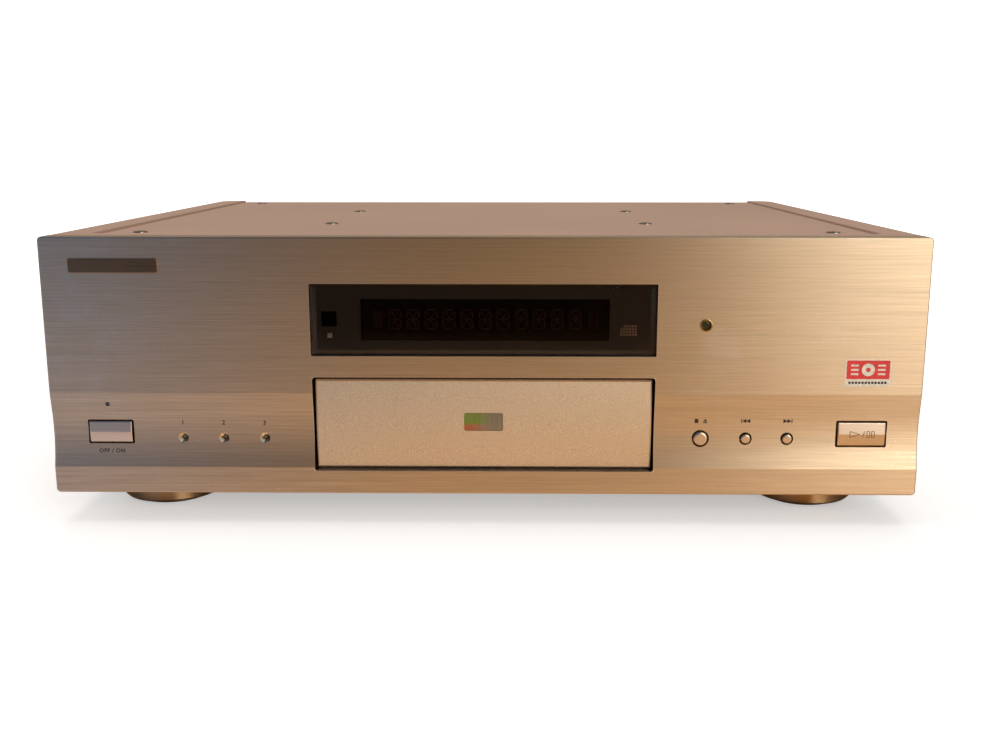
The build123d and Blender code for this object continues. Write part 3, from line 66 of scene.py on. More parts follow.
# Places on the front, and how far round an opening its painted edge highlight starts
STATUS_LAMP_XS = (-146.4 * MM, -126.5 * MM, -106.5 * MM)
STATUS_LAMP_Z = 42.9 * MM
STATUS_LABEL_Z = 50.4 * MM
DIMPLE_RADIUS = 2.45 * MM
EDGE_REACH = {"display_window": 0.1 * MM, "tray_door": 1.35 * MM}

# Colours, linear
CHAMPAGNE = (0.62, 0.46, 0.30)
CHAMPAGNE_DOOR = (0.68, 0.515, 0.345)
CHAMPAGNE_BUTTON = (0.68, 0.53, 0.39)
TAUPE = (0.485, 0.307, 0.224)
REAR_TAUPE = (0.20, 0.155, 0.130)
LABEL_INK = (0.015, 0.012, 0.010)
DUST = (0.75, 0.70, 0.64)
# Painted highlight along the window and door openings, partly rubbed bare metal
EDGE_HIGHLIGHT_AND_WEAR = (0.86, 0.70, 0.54)
GHOST = (0.045, 0.015, 0.010)
LEVEL_GRAIN = (0.0, 0.0, 1.0)

# Most of a noise texture's values lie between these
MOST_NOISE = (0.3, 0.7)


def rgba(colour):
    return (*colour, 1.0)


# Materials

class Look:
    """A Principled material whose nodes are added by short calls."""

    def __init__(self, name, colour, metallic, roughness, **constants):
        self.material = bpy.data.materials.new(name)
        self.material.use_nodes = True
        self.tree = self.material.node_tree
        self.tree.nodes.clear()
        self.shader = self.tree.nodes.new("ShaderNodeBsdfPrincipled")
        output = self.tree.nodes.new("ShaderNodeOutputMaterial")
        self.tree.links.new(self.shader.outputs["BSDF"], output.inputs["Surface"])
        self.shader.inputs["Base Color"].default_value = rgba(colour)
        self.shader.inputs["Metallic"].default_value = metallic
        self.shader.inputs["Roughness"].default_value = roughness
        self.material.diffuse_color = rgba(colour)
        for socket, value in constants.items():
            self.shader.inputs[socket.replace("_", " ")].default_value = value

    def node(self, kind, **settings):
        made = self.tree.nodes.new(kind)
        for key, value in settings.items():
            setattr(made, key, value)
        return made

    def feed(self, socket, value):
        """Links a socket's output, or writes a plain value."""
        if isinstance(value, bpy.types.NodeSocket):
            self.tree.links.new(value, socket)
        elif isinstance(value, tuple) and len(value) == 3 and socket.type == "RGBA":
            socket.default_value = rgba(value)
        else:
            socket.default_value = value

    def place(self, stretch=(1.0, 1.0, 1.0), shift=(0.0, 0.0, 0.0)):
        """Object coordinates in metres, scaled along each axis."""
        coordinates = self.node("ShaderNodeTexCoord")
        mapping = self.node("ShaderNodeMapping")
        mapping.inputs["Scale"].default_value = stretch
        mapping.inputs["Location"].default_value = shift
        self.tree.links.new(coordinates.outputs["Object"], mapping.inputs["Vector"])
        return mapping.outputs["Vector"]

    def noise(self, scale, detail=2.0, rough=0.5, stretch=(1.0, 1.0, 1.0), shift=(0.0, 0.0, 0.0)):
        made = self.node("ShaderNodeTexNoise")
        made.inputs["Scale"].default_value = scale
        made.inputs["Detail"].default_value = detail
        made.inputs["Roughness"].default_value = rough
        self.tree.links.new(self.place(stretch, shift), made.inputs["Vector"])
        return made.outputs["Fac"]

    def specks(self, scale):
        """Distance to scattered points, for dust."""
        made = self.node("ShaderNodeTexVoronoi")
        made.inputs["Scale"].default_value = scale
        self.tree.links.new(self.place(), made.inputs["Vector"])
        return made.outputs["Distance"]

    def axis(self, name):
        """One object coordinate, in metres."""
        parts = self.node("ShaderNodeSeparateXYZ")
        self.tree.links.new(self.place(), parts.inputs[0])
        return parts.outputs[name]

    def spread(self, value, low, high, to_low=0.0, to_high=1.0, smooth=False):
        """Maps a range of a value to another range, clamped."""
        made = self.node("ShaderNodeMapRange")
        if smooth:
            made.interpolation_type = "SMOOTHSTEP"
        self.feed(made.inputs["Value"], value)
        made.inputs["From Min"].default_value = low
        made.inputs["From Max"].default_value = high
        made.inputs["To Min"].default_value = to_low
        made.inputs["To Max"].default_value = to_high
        return made.outputs["Result"]

    def math(self, operation, first, second):
        made = self.node("ShaderNodeMath", operation=operation)
        self.feed(made.inputs[0], first)
        self.feed(made.inputs[1], second)
        return made.outputs[0]

    def mix(self, amount, first, second, blend="MIX"):
        made = self.node("ShaderNodeMix", data_type="RGBA", blend_type=blend)
        self.feed(made.inputs["Factor"], amount)
        self.feed(made.inputs[6], first)
        self.feed(made.inputs[7], second)
        return made.outputs[2]

    def bump(self, height, strength, distance):
        made = self.node("ShaderNodeBump")
        made.inputs["Strength"].default_value = strength
        made.inputs["Distance"].default_value = distance
        self.feed(made.inputs["Height"], height)
        return made.outputs["Normal"]

    def set(self, socket, value):
        self.feed(self.shader.inputs[socket], value)

    def tint(self, colour, tone):
        """Makes a colour, lightened and darkened by a tone, the base colour."""
        self.set("Base Color", self.mix(1.0, colour, tone, "MULTIPLY"))

    def level_grain(self):
        """Spreads reflections up and down, as a level brushed or turned grain does."""
        direction = self.node("ShaderNodeCombineXYZ")
        for axis, value in zip("XYZ", LEVEL_GRAIN):
            direction.inputs[axis].default_value = value
        self.tree.links.new(direction.outputs[0], self.shader.inputs["Tangent"])


def brushed(look, colour, fine, coarse, contrast, roughness):
    """Grain along X that varies the colour. Returns its height and its roughness."""
    grain = look.noise(1.0, 3.0, 0.6, stretch=fine)
    streaks = look.noise(1.0, 2.0, 0.5, stretch=coarse)
    both = look.math("ADD", look.math("MULTIPLY", grain, 0.6), look.math("MULTIPLY", streaks, 0.4))
    tone = look.spread(both, 0.32, 0.68, 1.0 - contrast, 1.0 + contrast)
    look.tint(colour, tone)
    return both, look.spread(both, 0.32, 0.68, roughness + 0.04, roughness - 0.04)


def frame_distance(look, low, high):
    """Distance outside an upright rectangle, in metres, from its corners (x, z)."""
    gaps = []
    for name, start, stop in (("X", low[0], high[0]), ("Z", low[1], high[1])):
        off_centre = look.math("SUBTRACT", look.axis(name), (start + stop) / 2)
        gaps.append(look.math("SUBTRACT", look.math("ABSOLUTE", off_centre, 0.0), (stop - start) / 2))
    return look.math("MAXIMUM", gaps[0], gaps[1])


def panel_look():
    """Brushed champagne metal with dust, faint smudges, a painted highlight along the opening edges
    (partly rubbed bare metal) and turned dimples.
    """
    look = Look("champagne_brushed", CHAMPAGNE, 1.0, 0.40, Anisotropic=0.8)
    look.level_grain()
    smudge = look.spread(look.noise(26.0, 5.0, 0.7), 0.50, 0.74, smooth=True)
    wipe = look.spread(look.noise(8.0, 3.0, 0.6, shift=(3.1, 0.0, 1.7)), 0.46, 0.70)
    cloud = look.math("MULTIPLY", look.math("MULTIPLY", smudge, wipe), 0.35)
    colour = look.mix(cloud, CHAMPAGNE, DUST)
    specks = look.spread(look.specks(230.0), 0.06, 0.16, 1.0, 0.0)
    scattered = look.spread(look.noise(22.0, 4.0, 0.7, shift=(7.0, 2.0, 4.0)), 0.50, 0.64)
    colour = look.mix(look.math("MULTIPLY", look.math("MULTIPLY", specks, scattered), 0.38),
                      colour, DUST)
    # Lightens a band round each opening: a painted edge highlight, partly rubbed bare metal
    for node, reach in EDGE_REACH.items():
        low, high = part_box(node)
        distance = frame_distance(look, (low[0], low[2]), (high[0], high[2]))
        near = look.spread(distance, reach, reach + 0.5 * MM, 0.55, 0.0)
        colour = look.mix(near, colour, EDGE_HIGHLIGHT_AND_WEAR)
    grain, rough = brushed(look, colour, (36.0, 1500.0, 3000.0), (13.0, 700.0, 1300.0), 0.15, 0.40)
    flat = look.node("ShaderNodeVectorMath", operation="MULTIPLY")
    look.tree.links.new(look.place(), flat.inputs[0])
    flat.inputs[1].default_value = (1.0, 0.0, 1.0)
    turned = 0.0
    for x in STATUS_LAMP_XS:
        gap = look.node("ShaderNodeVectorMath", operation="DISTANCE")
        look.tree.links.new(flat.outputs["Vector"], gap.inputs[0])
        gap.inputs[1].default_value = (x, 0.0, STATUS_LAMP_Z)
        inside = look.spread(gap.outputs["Value"], DIMPLE_RADIUS, DIMPLE_RADIUS + 0.15 * MM, 1.0, 0.0)
        turned = look.math("MAXIMUM", inside, turned)
    look.set("Roughness", look.math("SUBTRACT", rough, look.math("MULTIPLY", turned, 0.20)))
    look.set("Normal", look.bump(grain, 0.22, 0.00005))
    return look.material


def button_look():
    """Champagne metal with a finer grain than the panel's."""
    look = Look("champagne_button", CHAMPAGNE_BUTTON, 1.0, 0.33, Anisotropic=0.5)
    look.level_grain()
    grain, rough = brushed(look, CHAMPAGNE_BUTTON, (60.0, 60.0, 2600.0), (20.0, 20.0, 1200.0),
                           0.06, 0.33)
    look.set("Roughness", rough)
    look.set("Normal", look.bump(grain, 0.2, 0.00004))
    return look.material


def door_look():
    """Bead-blasted metal: even sparkle, softer reflections than the panel's."""
    look = Look("champagne_blasted", CHAMPAGNE_DOOR, 1.0, 0.6)
    sand = look.noise(2200.0, 2.0, 0.7)
    tone = look.spread(sand, *MOST_NOISE, 0.80, 1.20)
    colour = look.mix(1.0, CHAMPAGNE_DOOR, tone, "MULTIPLY")
    speck = look.spread(look.specks(260.0), 0.05, 0.12, 0.4, 0.0)
    look.set("Base Color", look.mix(speck, colour, DUST))
    look.set("Roughness", look.spread(look.noise(40.0, 4.0, 0.6), *MOST_NOISE, 0.55, 0.61))
    look.set("Normal", look.bump(sand, 0.6, 0.00014))
    return look.material


def paint_look(name, colour, dust_amount):
    """Fine textured paint with a little dust."""
    look = Look(name, colour, 0.0, 0.55, Specular_IOR_Level=0.3)
    peel = look.noise(1500.0, 2.0, 0.5)
    cloud = look.noise(6.0, 4.0, 0.55)
    tone = look.spread(cloud, *MOST_NOISE, 0.93, 1.07)
    shaded = look.mix(1.0, colour, tone, "MULTIPLY")
    speck = look.spread(look.specks(420.0), 0.05, 0.16, 1.0, 0.0)
    patch = look.spread(look.noise(9.0, 4.0, 0.6, shift=(2.0, 5.0, 1.0)), 0.48, 0.68)
    dust = look.math("MULTIPLY", look.math("MULTIPLY", speck, patch), dust_amount)
    look.set("Base Color", look.mix(dust, shaded, DUST))
    look.set("Roughness", look.spread(cloud, *MOST_NOISE, 0.52, 0.60))
    look.set("Normal", look.bump(peel, 0.35, 0.00010))
    return look.material


def plastic_look(name, colour, roughness=0.5, grain=1400.0, depth=0.00008):
    """Moulded plastic with a fine spark-eroded texture."""
    look = Look(name, colour, 0.0, roughness)
    texture = look.noise(grain, 2.0, 0.6)
    cloud = look.noise(25.0, 3.0, 0.5)
    tone = look.spread(cloud, *MOST_NOISE, 0.88, 1.12)
    look.tint(colour, tone)
    look.set("Roughness", look.spread(cloud, *MOST_NOISE, roughness - 0.05, roughness + 0.05))
    look.set("Normal", look.bump(texture, 0.3, depth))
    return look.material


def metal_look(name, colour, roughness, stretch=(60.0, 60.0, 900.0), contrast=0.08):
    """Plain metal with a grain that its stretch along each axis shapes."""
    look = Look(name, colour, 1.0, roughness)
    grain = look.noise(1.0, 3.0, 0.6, stretch=stretch)
    tone = look.spread(grain, *MOST_NOISE, 1.0 - contrast, 1.0 + contrast)
    look.tint(colour, tone)
    look.set("Roughness", look.spread(grain, *MOST_NOISE, roughness + 0.06, roughness - 0.06))
    look.set("Normal", look.bump(grain, 0.15, 0.00004))
    return look.material


def turned_look(name, colour, roughness):
    """Metal turned about an upright axis: fine level rings."""
    look = Look(name, colour, 1.0, roughness, Anisotropic=0.85)
    look.level_grain()
    grain = look.noise(1.0, 3.0, 0.6, stretch=(5.0, 5.0, 2600.0))
    tone = look.spread(grain, *MOST_NOISE, 0.88, 1.12)
    look.tint(colour, tone)
    look.set("Roughness", look.spread(grain, *MOST_NOISE, roughness + 0.05, roughness - 0.05))
    look.set("Normal", look.bump(grain, 0.25, 0.00004))
    return look.material


def window_look():
    """Smoked acrylic with fine dust along its upper bevel."""
    smoke = (0.46, 0.33, 0.235)
    look = Look("smoked_acrylic", smoke, 0.0, 0.04, Transmission_Weight=1.0, IOR=1.40)
    look.shader.inputs["Specular Tint"].default_value = (1.0, 0.78, 0.58, 1.0)
    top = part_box("display_window")[1][2]
    upper = look.spread(look.axis("Z"), top - 4.0 * MM, top - 1.0 * MM, 0.15, 1.0)
    speck = look.spread(look.specks(900.0), 0.10, 0.20, 1.0, 0.0)
    patch = look.spread(look.noise(40.0, 4.0, 0.7), 0.50, 0.66)
    dust = look.math("MULTIPLY", look.math("MULTIPLY", speck, patch),
                     look.math("MULTIPLY", upper, 0.5))
    look.set("Base Color", look.mix(dust, smoke, (0.60, 0.52, 0.42)))
    look.set("Roughness", look.spread(dust, 0.0, 0.5, 0.03, 0.4))
    return look.material


def glass_look(name, colour, roughness=0.08):
    """Dark glass or a lamp's lens, with a slight cloud."""
    look = Look(name, colour, 0.0, roughness, Coat_Weight=0.6)
    cloud = look.noise(60.0, 3.0, 0.5)
    look.set("Base Color", look.mix(look.spread(cloud, 0.4, 0.7, 0.0, 0.25), colour,
                                    tuple(min(1.0, c * 1.6) for c in colour)))
    look.set("Roughness", look.spread(cloud, *MOST_NOISE, roughness, roughness + 0.05))
    return look.material


def foil_look():
    """Ruled foil: green to grey-brown across it, and red to grey-brown along its bottom."""
    look = Look("ruled_foil", (0.3, 0.4, 0.2), 0.6, 0.3)
    low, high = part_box("door_badge")
    across = look.spread(look.axis("X"), low[0], high[0])
    wander = look.spread(look.noise(140.0, 3.0, 0.6), *MOST_NOISE, -0.25, 0.25)
    hue = look.math("ADD", across, wander)
    top = look.mix(look.spread(hue, 0.05, 0.75), (0.17, 0.27, 0.03), (0.24, 0.20, 0.13))
    bottom = look.mix(look.spread(hue, 0.05, 0.75), (0.44, 0.12, 0.06), (0.26, 0.21, 0.14))
    height = look.spread(look.axis("Z"), low[2] + 0.25 * (high[2] - low[2]),
                         low[2] + 0.45 * (high[2] - low[2]))
    ruled = look.noise(1.0, 2.0, 0.5, stretch=(2600.0, 20.0, 60.0))
    colour = look.mix(height, bottom, top)
    look.tint(colour, look.spread(ruled, *MOST_NOISE, 0.88, 1.1))
    look.set("Normal", look.bump(ruled, 0.2, 0.00003))
    return look.material


def board_look():
    """Green circuit board with faint tracks under its mask."""
    green = (0.02, 0.12, 0.05)
    look = Look("circuit_board", green, 0.0, 0.35)
    tracks = look.node("ShaderNodeTexBrick")
    tracks.inputs["Scale"].default_value = 120.0
    tracks.inputs["Mortar Size"].default_value = 0.06
    tracks.inputs["Color1"].default_value = rgba(green)
    tracks.inputs["Color2"].default_value = rgba((0.025, 0.15, 0.06))
    tracks.inputs["Mortar"].default_value = rgba((0.05, 0.24, 0.09))
    look.tree.links.new(look.place(), tracks.inputs["Vector"])
    look.set("Base Color", tracks.outputs["Color"])
    look.set("Normal", look.bump(tracks.outputs["Fac"], 0.2, 0.00005))
    return look.material


def ink_look(name, colour, roughness=0.5):
    """Print whose tone varies a little."""
    look = Look(name, colour, 0.0, roughness)
    wear = look.noise(900.0, 2.0, 0.6)
    look.tint(colour, look.spread(wear, *MOST_NOISE, 0.8, 1.2))
    return look.material


def dress(material, *names):
    """Gives CAD nodes a material."""
    for name in names:
        for place in nodes[name].material_slots:
            place.material = material


black_plastic = plastic_look("black_plastic", (0.012, 0.010, 0.009), 0.55)
loader_plastic = plastic_look("loader_plastic", (0.035, 0.035, 0.038), 0.5)
tray_plastic = plastic_look("tray_plastic", (0.045, 0.043, 0.042), 0.42, 2000.0, 0.00005)
gear_plastic = plastic_look("gear_plastic", (0.62, 0.60, 0.53), 0.38)
socket_plastic = plastic_look("socket_plastic", (0.02, 0.02, 0.02), 0.45)
plated_steel = metal_look("plated_steel", (0.55, 0.53, 0.48), 0.34, (300.0, 300.0, 300.0))
bronze_steel = metal_look("bronze_screw", (0.33, 0.26, 0.20), 0.32, (700.0, 700.0, 700.0))
motor_steel = metal_look("motor_steel", (0.55, 0.55, 0.55), 0.3, (500.0, 500.0, 500.0))
foot_gold = turned_look("turned_gold", (0.56, 0.34, 0.16), 0.36)
socket_gold = metal_look("gold_plate", (0.78, 0.56, 0.22), 0.2, (400.0, 400.0, 400.0))
trim_gold = metal_look("gold_trim", (0.62, 0.42, 0.14), 0.22, (500.0, 500.0, 500.0))
cast_metal = metal_look("cast_metal", (0.36, 0.36, 0.37), 0.45, (250.0, 250.0, 250.0), 0.12)
rubber = plastic_look("foot_rubber", (0.018, 0.018, 0.018), 0.8, 900.0, 0.00015)

dress(panel_look(), "front_panel")
dress(button_look(), "power_button", "play_button", "stop_eject_button", "previous_button",
      "next_button")
dress(door_look(), "tray_door")
dress(window_look(), "display_window")
dress(glass_look("display_glass", (0.022, 0.016, 0.012)), "vfd_display")
dress(glass_look("sensor_lens", (0.008, 0.006, 0.006)), "remote_sensor")
dress(paint_look("taupe_paint", TAUPE, 0.35), "top_plate", "left_side_panel", "right_side_panel",
      "top_front_strip")
dress(paint_look("rear_paint", REAR_TAUPE, 0.2), "rear_panel")
dress(bronze_steel, "top_screws", "rear_screws", "foot_screws", "door_screws")
dress(foot_gold, "feet")
dress(rubber, "foot_pads", "drive_belt")
dress(foil_look(), "door_badge")
dress(trim_gold, "indicator_ring")
dress(glass_look("indicator_lens", (0.030, 0.026, 0.008), 0.15), "indicator_lens")
dress(glass_look("green_lamp", (0.10, 0.085, 0.035), 0.25), "status_leds")
dress(glass_look("red_lamp", (0.022, 0.008, 0.006), 0.2), "standby_led")
dress(metal_look("name_plate_metal", (0.34, 0.18, 0.085), 0.32, (40.0, 40.0, 2200.0)),
      "name_plate")
dress(black_plastic, "front_frame", "tact_switches")
dress(board_look(), "front_board", "power_board", "main_board", "audio_board")
dress(plated_steel, "bottom_pan", "chassis_beams", "clamp_bridge", "traverse_plate")
dress(tray_plastic, "tray")
dress(loader_plastic, "loader_chassis")
dress(gear_plastic, "motor_pulley", "pulley_gear", "drive_gear", "cam_slider", "sled_gear",
      "sled_motor_gear", "turntable", "clamper")
dress(motor_steel, "loading_motor", "spindle_motor", "sled_motor")
dress(metal_look("ground_rod", (0.7, 0.7, 0.7), 0.12, (40.0, 900.0, 40.0)), "guide_rods")
dress(cast_metal, "pickup_sled")
dress(glass_look("coated_lens", (0.12, 0.10, 0.30), 0.03), "objective_lens")
dress(plastic_look("transformer_core", (0.035, 0.030, 0.028), 0.5, 300.0), "power_transformer")
dress(plastic_look("capacitor_sleeve", (0.02, 0.02, 0.035), 0.25), "power_capacitors")
dress(metal_look("black_anodised", (0.05, 0.05, 0.05), 0.45), "heat_sink")
dress(socket_gold, "rca_sockets")
dress(socket_plastic, "s_video_sockets", "mains_inlet")


# Pieces made here: thin marks that lie on the surface that carries them

def caster(*names):
    """A search tree over CAD nodes, for finding the surface in front of a place."""
    work = bmesh.new()
    for name in names:
        work.from_mesh(nodes[name].data)
    tree = BVHTree.FromBMesh(work)
    work.free()
    return tree


RAY_START_GAP = 0.05
FRONT_RAY_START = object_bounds()[0][1] - RAY_START_GAP


def front_y(tree, x, z):
    """Depth of the surface seen from straight in front at a place."""
    hit = tree.ray_cast(Vector((x, FRONT_RAY_START, z)), Vector((0.0, 1.0, 0.0)))
    return hit[0].y


def new_piece(name, work, material, body):
    """Makes a flat-shaded piece that rides on a body."""
    mesh = bpy.data.meshes.new(name)
    work.to_mesh(mesh)
    work.free()
    piece = bpy.data.objects.new(name, mesh)
    bpy.context.scene.collection.objects.link(piece)
    mesh.materials.append(material)
    for face in mesh.polygons:
        face.use_smooth = False
    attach(piece, body)


# How far a mark stands in front of what carries it, and how thick it is
MARK_LIFT = 0.03 * MM
MARK_DEPTH = 0.05 * MM
OVER_MASK = 0.12 * MM


def add_mark(work, tree, outlines, thickness=MARK_DEPTH, lift=MARK_LIFT):
    """Adds flat closed outlines, given as lists of (x, z), as a thin raised layer."""
    for outline in outlines:
        front = []
        back = []
        for x, z in outline:
            y = front_y(tree, x, z)
            front.append(work.verts.new((x, y - lift - thickness / 2, z)))
            back.append(work.verts.new((x, y + thickness / 2, z)))
        work.faces.new(front)
        work.faces.new(list(reversed(back)))
        count = len(front)
        for this in range(count):
            after = (this + 1) % count
            work.faces.new((front[after], front[this], back[this], back[after]))
    bmesh.ops.recalc_face_normals(work, faces=work.faces)


def rectangle(x0, x1, z0, z1):
    """Outline between two uprights and two levels."""
    return [(x0, z0), (x1, z0), (x1, z1), (x0, z1)]


def rounded(x, z, wide, high, radius, steps=5):
    """A rectangle with round corners, about its centre."""
    points = []
    for corner in range(4):
        sign_x = 1 if corner in (0, 3) else -1
        sign_z = 1 if corner in (0, 1) else -1
        centre_x = x + sign_x * (wide / 2 - radius)
        centre_z = z + sign_z * (high / 2 - radius)
        for step in range(steps + 1):
            angle = math.pi / 2 * (corner + step / steps)
            points.append((centre_x + radius * math.cos(angle), centre_z + radius * math.sin(angle)))
    return points


def bar(start, end, wide):
    """A straight stroke between two points."""
    run = Vector((end[0] - start[0], end[1] - start[1])).normalized() * wide / 2
    side = Vector((-run.y, run.x))
    return [(start[0] + side.x, start[1] + side.y), (start[0] - side.x, start[1] - side.y),
            (end[0] - side.x, end[1] - side.y), (end[0] + side.x, end[1] + side.y)]


def triangle(x, z, size, facing):
    """A filled triangle that points right (1) or left (-1)."""
    half = size / 2
    return [(x - facing * half, z - half), (x + facing * half, z), (x - facing * half, z + half)]


# What every mark on the panel needs: its surface and its ink
panel_tree = caster("front_panel")
ink = ink_look("label_ink", LABEL_INK)


def centre_of(node):
    """Middle of a node's box."""
    low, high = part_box(node)
    return ((low[0] + high[0]) / 2, (low[1] + high[1]) / 2, (low[2] + high[2]) / 2)


def transport_marks():
    """Stop and eject, previous, next, above their buttons."""
    work = bmesh.new()
    size = 2.1 * MM
    rise = 8.8 * MM
    aside = 2.1 * MM
    stop_half = 0.9 * MM
    eject_half = 1.0 * MM
    x, _, z = centre_of("stop_eject_button")
    z += rise
    low = z - size / 2
    high = z + size / 2
    stop = x - aside
    eject = x + aside
    arrow_foot = z - 0.2 * MM
    bar_top = z - 0.5 * MM
    add_mark(work, panel_tree, [
        rectangle(stop - stop_half, stop + stop_half, low, high),
        [(eject - eject_half, arrow_foot), (eject + eject_half, arrow_foot), (eject, high)],
        rectangle(eject - eject_half, eject + eject_half, low, bar_top),
    ])
    stroke_half = 0.2 * MM
    for node, facing in (("previous_button", -1), ("next_button", 1)):
        x, _, _ = centre_of(node)
        stroke = x + facing * aside
        add_mark(work, panel_tree, [
            triangle(x - facing * 1.0 * MM, z, size, facing),
            triangle(x + facing * 0.9 * MM, z, size, facing),
            rectangle(stroke - stroke_half, stroke + stroke_half, low, high),
        ])
    new_piece("transport_marks", work, ink, "root")


def play_mark():
    """Outlined triangle, slash and two outlined bars on the play button."""
    work = bmesh.new()
    tree = caster("play_button")
    x, _, z = centre_of("play_button")
    wide = 0.34 * MM
    high = 1.5 * MM
    slash = x + 0.85 * MM
    lean = 0.55 * MM
    tip = (x - 0.9 * MM, z)
    top = (x - 5.6 * MM, z + high)
    bottom = (x - 5.6 * MM, z - high)
    strokes = [bar(top, tip, wide), bar(bottom, tip, wide)]
    for side in (-1, 1):
        strokes.append(bar((top[0], z), (top[0], z + side * high), wide))
        strokes.append(bar((slash, z), (slash + side * lean, z + side * high), wide))
        for left in (x + 2.5 * MM, x + 4.7 * MM):
            right = left + 1.3 * MM
            strokes += [bar((left, z), (left, z + side * high), wide),
                        bar((right, z), (right, z + side * high), wide),
                        bar((left, z + side * high), (right, z + side * high), wide)]
    add_mark(work, tree, strokes)
    new_piece("play_mark", work, ink_look("engraved_mark", (0.16, 0.10, 0.055), 0.6),
              "play_button")


def thicken(work, depth):
    """Gives flat faces a thickness towards the rear."""
    raised = bmesh.ops.extrude_face_region(work, geom=list(work.faces))
    for item in raised["geom"]:
        if isinstance(item, bmesh.types.BMVert):
            item.co.y += depth
    bmesh.ops.recalc_face_normals(work, faces=work.faces)


def lettering(name, text, x, z, size, spacing=1.0):
    """Generic lettering laid on the front panel: figures, ON and OFF."""
    curve = bpy.data.curves.new(name, "FONT")
    curve.body = text
    curve.size = size
    curve.align_x = "CENTER"
    curve.align_y = "CENTER"
    curve.space_character = spacing
    curve.resolution_u = 3
    curve.offset = 0.07 * MM
    writer = bpy.data.objects.new(name + "_outline", curve)
    bpy.context.scene.collection.objects.link(writer)
    flat = bpy.data.meshes.new_from_object(writer)
    bpy.data.objects.remove(writer)
    work = bmesh.new()
    work.from_mesh(flat)
    bpy.data.meshes.remove(flat)
    for vertex in work.verts:
        across = x + vertex.co.x
        up = z + vertex.co.y
        vertex.co = (across, front_y(panel_tree, across, up) - MARK_LIFT, up)
    thicken(work, MARK_LIFT + MARK_DEPTH / 2)
    new_piece(name, work, ink, "root")


def status_labels():
    """Figures over the three lamps."""
    for number, x in enumerate(STATUS_LAMP_XS, 1):
        lettering(f"status_label_{number}", str(number), x, STATUS_LABEL_Z, 3.0 * MM)


def power_label():
    """OFF and ON under the power button."""
    drop = 9.6 * MM
    x, _, z = centre_of("power_button")
    lettering("power_label", "OFF / ON", x, z - drop, 2.7 * MM, spacing=1.15)


# Sticker on the panel's right: two plain colours, with a ring as a generic motif.
# Its centre (x, z) and its size, then the thickness of a layer and how far each stands out.
STICKER_PLACE = (183.35 * MM, 76.2 * MM)
STICKER_SIZE = (21.7 * MM, 13.0 * MM)
STICKER_LAYER = 0.08 * MM
FIELD_LIFT = 0.06 * MM
MOTIF_LIFT = 0.10 * MM


def sticker():
    """Cream label with a red field that holds a ring and bars, and a dark line under it."""
    x, z = STICKER_PLACE
    wide, high = STICKER_SIZE
    cream = ink_look("sticker_cream", (0.72, 0.60, 0.47), 0.4)
    red = ink_look("sticker_red", (0.66, 0.035, 0.028), 0.35)
    work = bmesh.new()
    add_mark(work, panel_tree, [rounded(x, z, wide, high, 0.7 * MM)], STICKER_LAYER)
    new_piece("sticker", work, cream, "root")
    field = 0.74 * (high - 0.8 * MM)
    middle = z + high / 2 - 0.4 * MM - field / 2
    work = bmesh.new()
    add_mark(work, panel_tree, [rounded(x, middle, wide - 1.2 * MM, field, 0.3 * MM)],
             STICKER_LAYER, FIELD_LIFT)
    new_piece("sticker_field", work, red, "root")
    work = bmesh.new()
    steps = 40
    outer = 3.1 * MM
    inner = 1.1 * MM
    for step in range(steps):
        first = 2 * math.pi * step / steps
        second = 2 * math.pi * (step + 1) / steps
        ring = [(x + r * math.cos(a), middle + r * math.sin(a))
                for r, a in ((inner, first), (outer, first), (outer, second), (inner, second))]
        add_mark(work, panel_tree, [ring], STICKER_LAYER, MOTIF_LIFT)
    for side in (-1, 1):
        for row in (-1, 0, 1):
            start = x + side * 4.6 * MM
            level = middle + row * 2.1 * MM
            stroke = bar((start, level), (start + side * 3.6 * MM, level), 0.9 * MM)
            add_mark(work, panel_tree, [stroke], STICKER_LAYER, MOTIF_LIFT)
    new_piece("sticker_motif", work, cream, "root")
    work = bmesh.new()
    line = z - high / 2 + (high - field - 0.4 * MM) / 2
    dashes = 12
    for number in range(dashes):
        start = x + (number - dashes / 2) * 1.55 * MM + 0.2 * MM
        dash = bar((start, line), (start + 1.1 * MM, line), 1.1 * MM)
        add_mark(work, panel_tree, [dash], STICKER_LAYER, FIELD_LIFT)
    new_piece("sticker_line", work, ink, "root")


# Display: unlit segments behind the smoked window

def segment_look():
    """Print of the unlit segments."""
    look = Look("unlit_segment", GHOST, 0.0, 0.5)
    speck = look.noise(2200.0, 2.0, 0.5)
    look.tint(GHOST, look.spread(speck, *MOST_NOISE, 0.7, 1.3))
    return look.material


def display_segments():
    """Cells of seven strokes and four short diagonals, and four upright bars at each end."""
    low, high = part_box("vfd_display")
    tree = caster("vfd_display")
    work = bmesh.new()
    cells = 11
    margin = 12.0 * MM
    pitch = (high[0] - low[0] - 2 * margin) / cells
    cell_high = 9.0 * MM
    cell_wide = pitch * 0.62
    stroke = 0.8 * MM
    z = (low[2] + high[2]) / 2
    for cell in range(cells):
        x = low[0] + margin + pitch * (cell + 0.5)
        left = x - cell_wide / 2
        right = x + cell_wide / 2
        top = z + cell_high / 2
        bottom = z - cell_high / 2
        gap = stroke * 0.7
        strokes = []
        for level in (bottom, z, top):
            strokes.append(bar((left + gap, level), (right - gap, level), stroke))
        for side in (left, right):
            strokes.append(bar((side, bottom + gap), (side, z - gap), stroke))
            strokes.append(bar((side, z + gap), (side, top - gap), stroke))
        inset = gap * 1.6
        for level, inner in ((top - inset, z + gap), (bottom + inset, z - gap)):
            for side in (left + inset, right - inset):
                strokes.append(bar((side, level), (x, inner), stroke * 0.6))
        add_mark(work, tree, strokes)
    edge = 6.0 * MM
    for number in range(4):
        step = number * 1.2 * MM
        for x in (low[0] + edge + step, high[0] - edge - step):
            add_mark(work, tree, [bar((x, low[2] + edge), (x, high[2] - edge), 0.5 * MM)])
    new_piece("display_segments", work, segment_look(), "root")


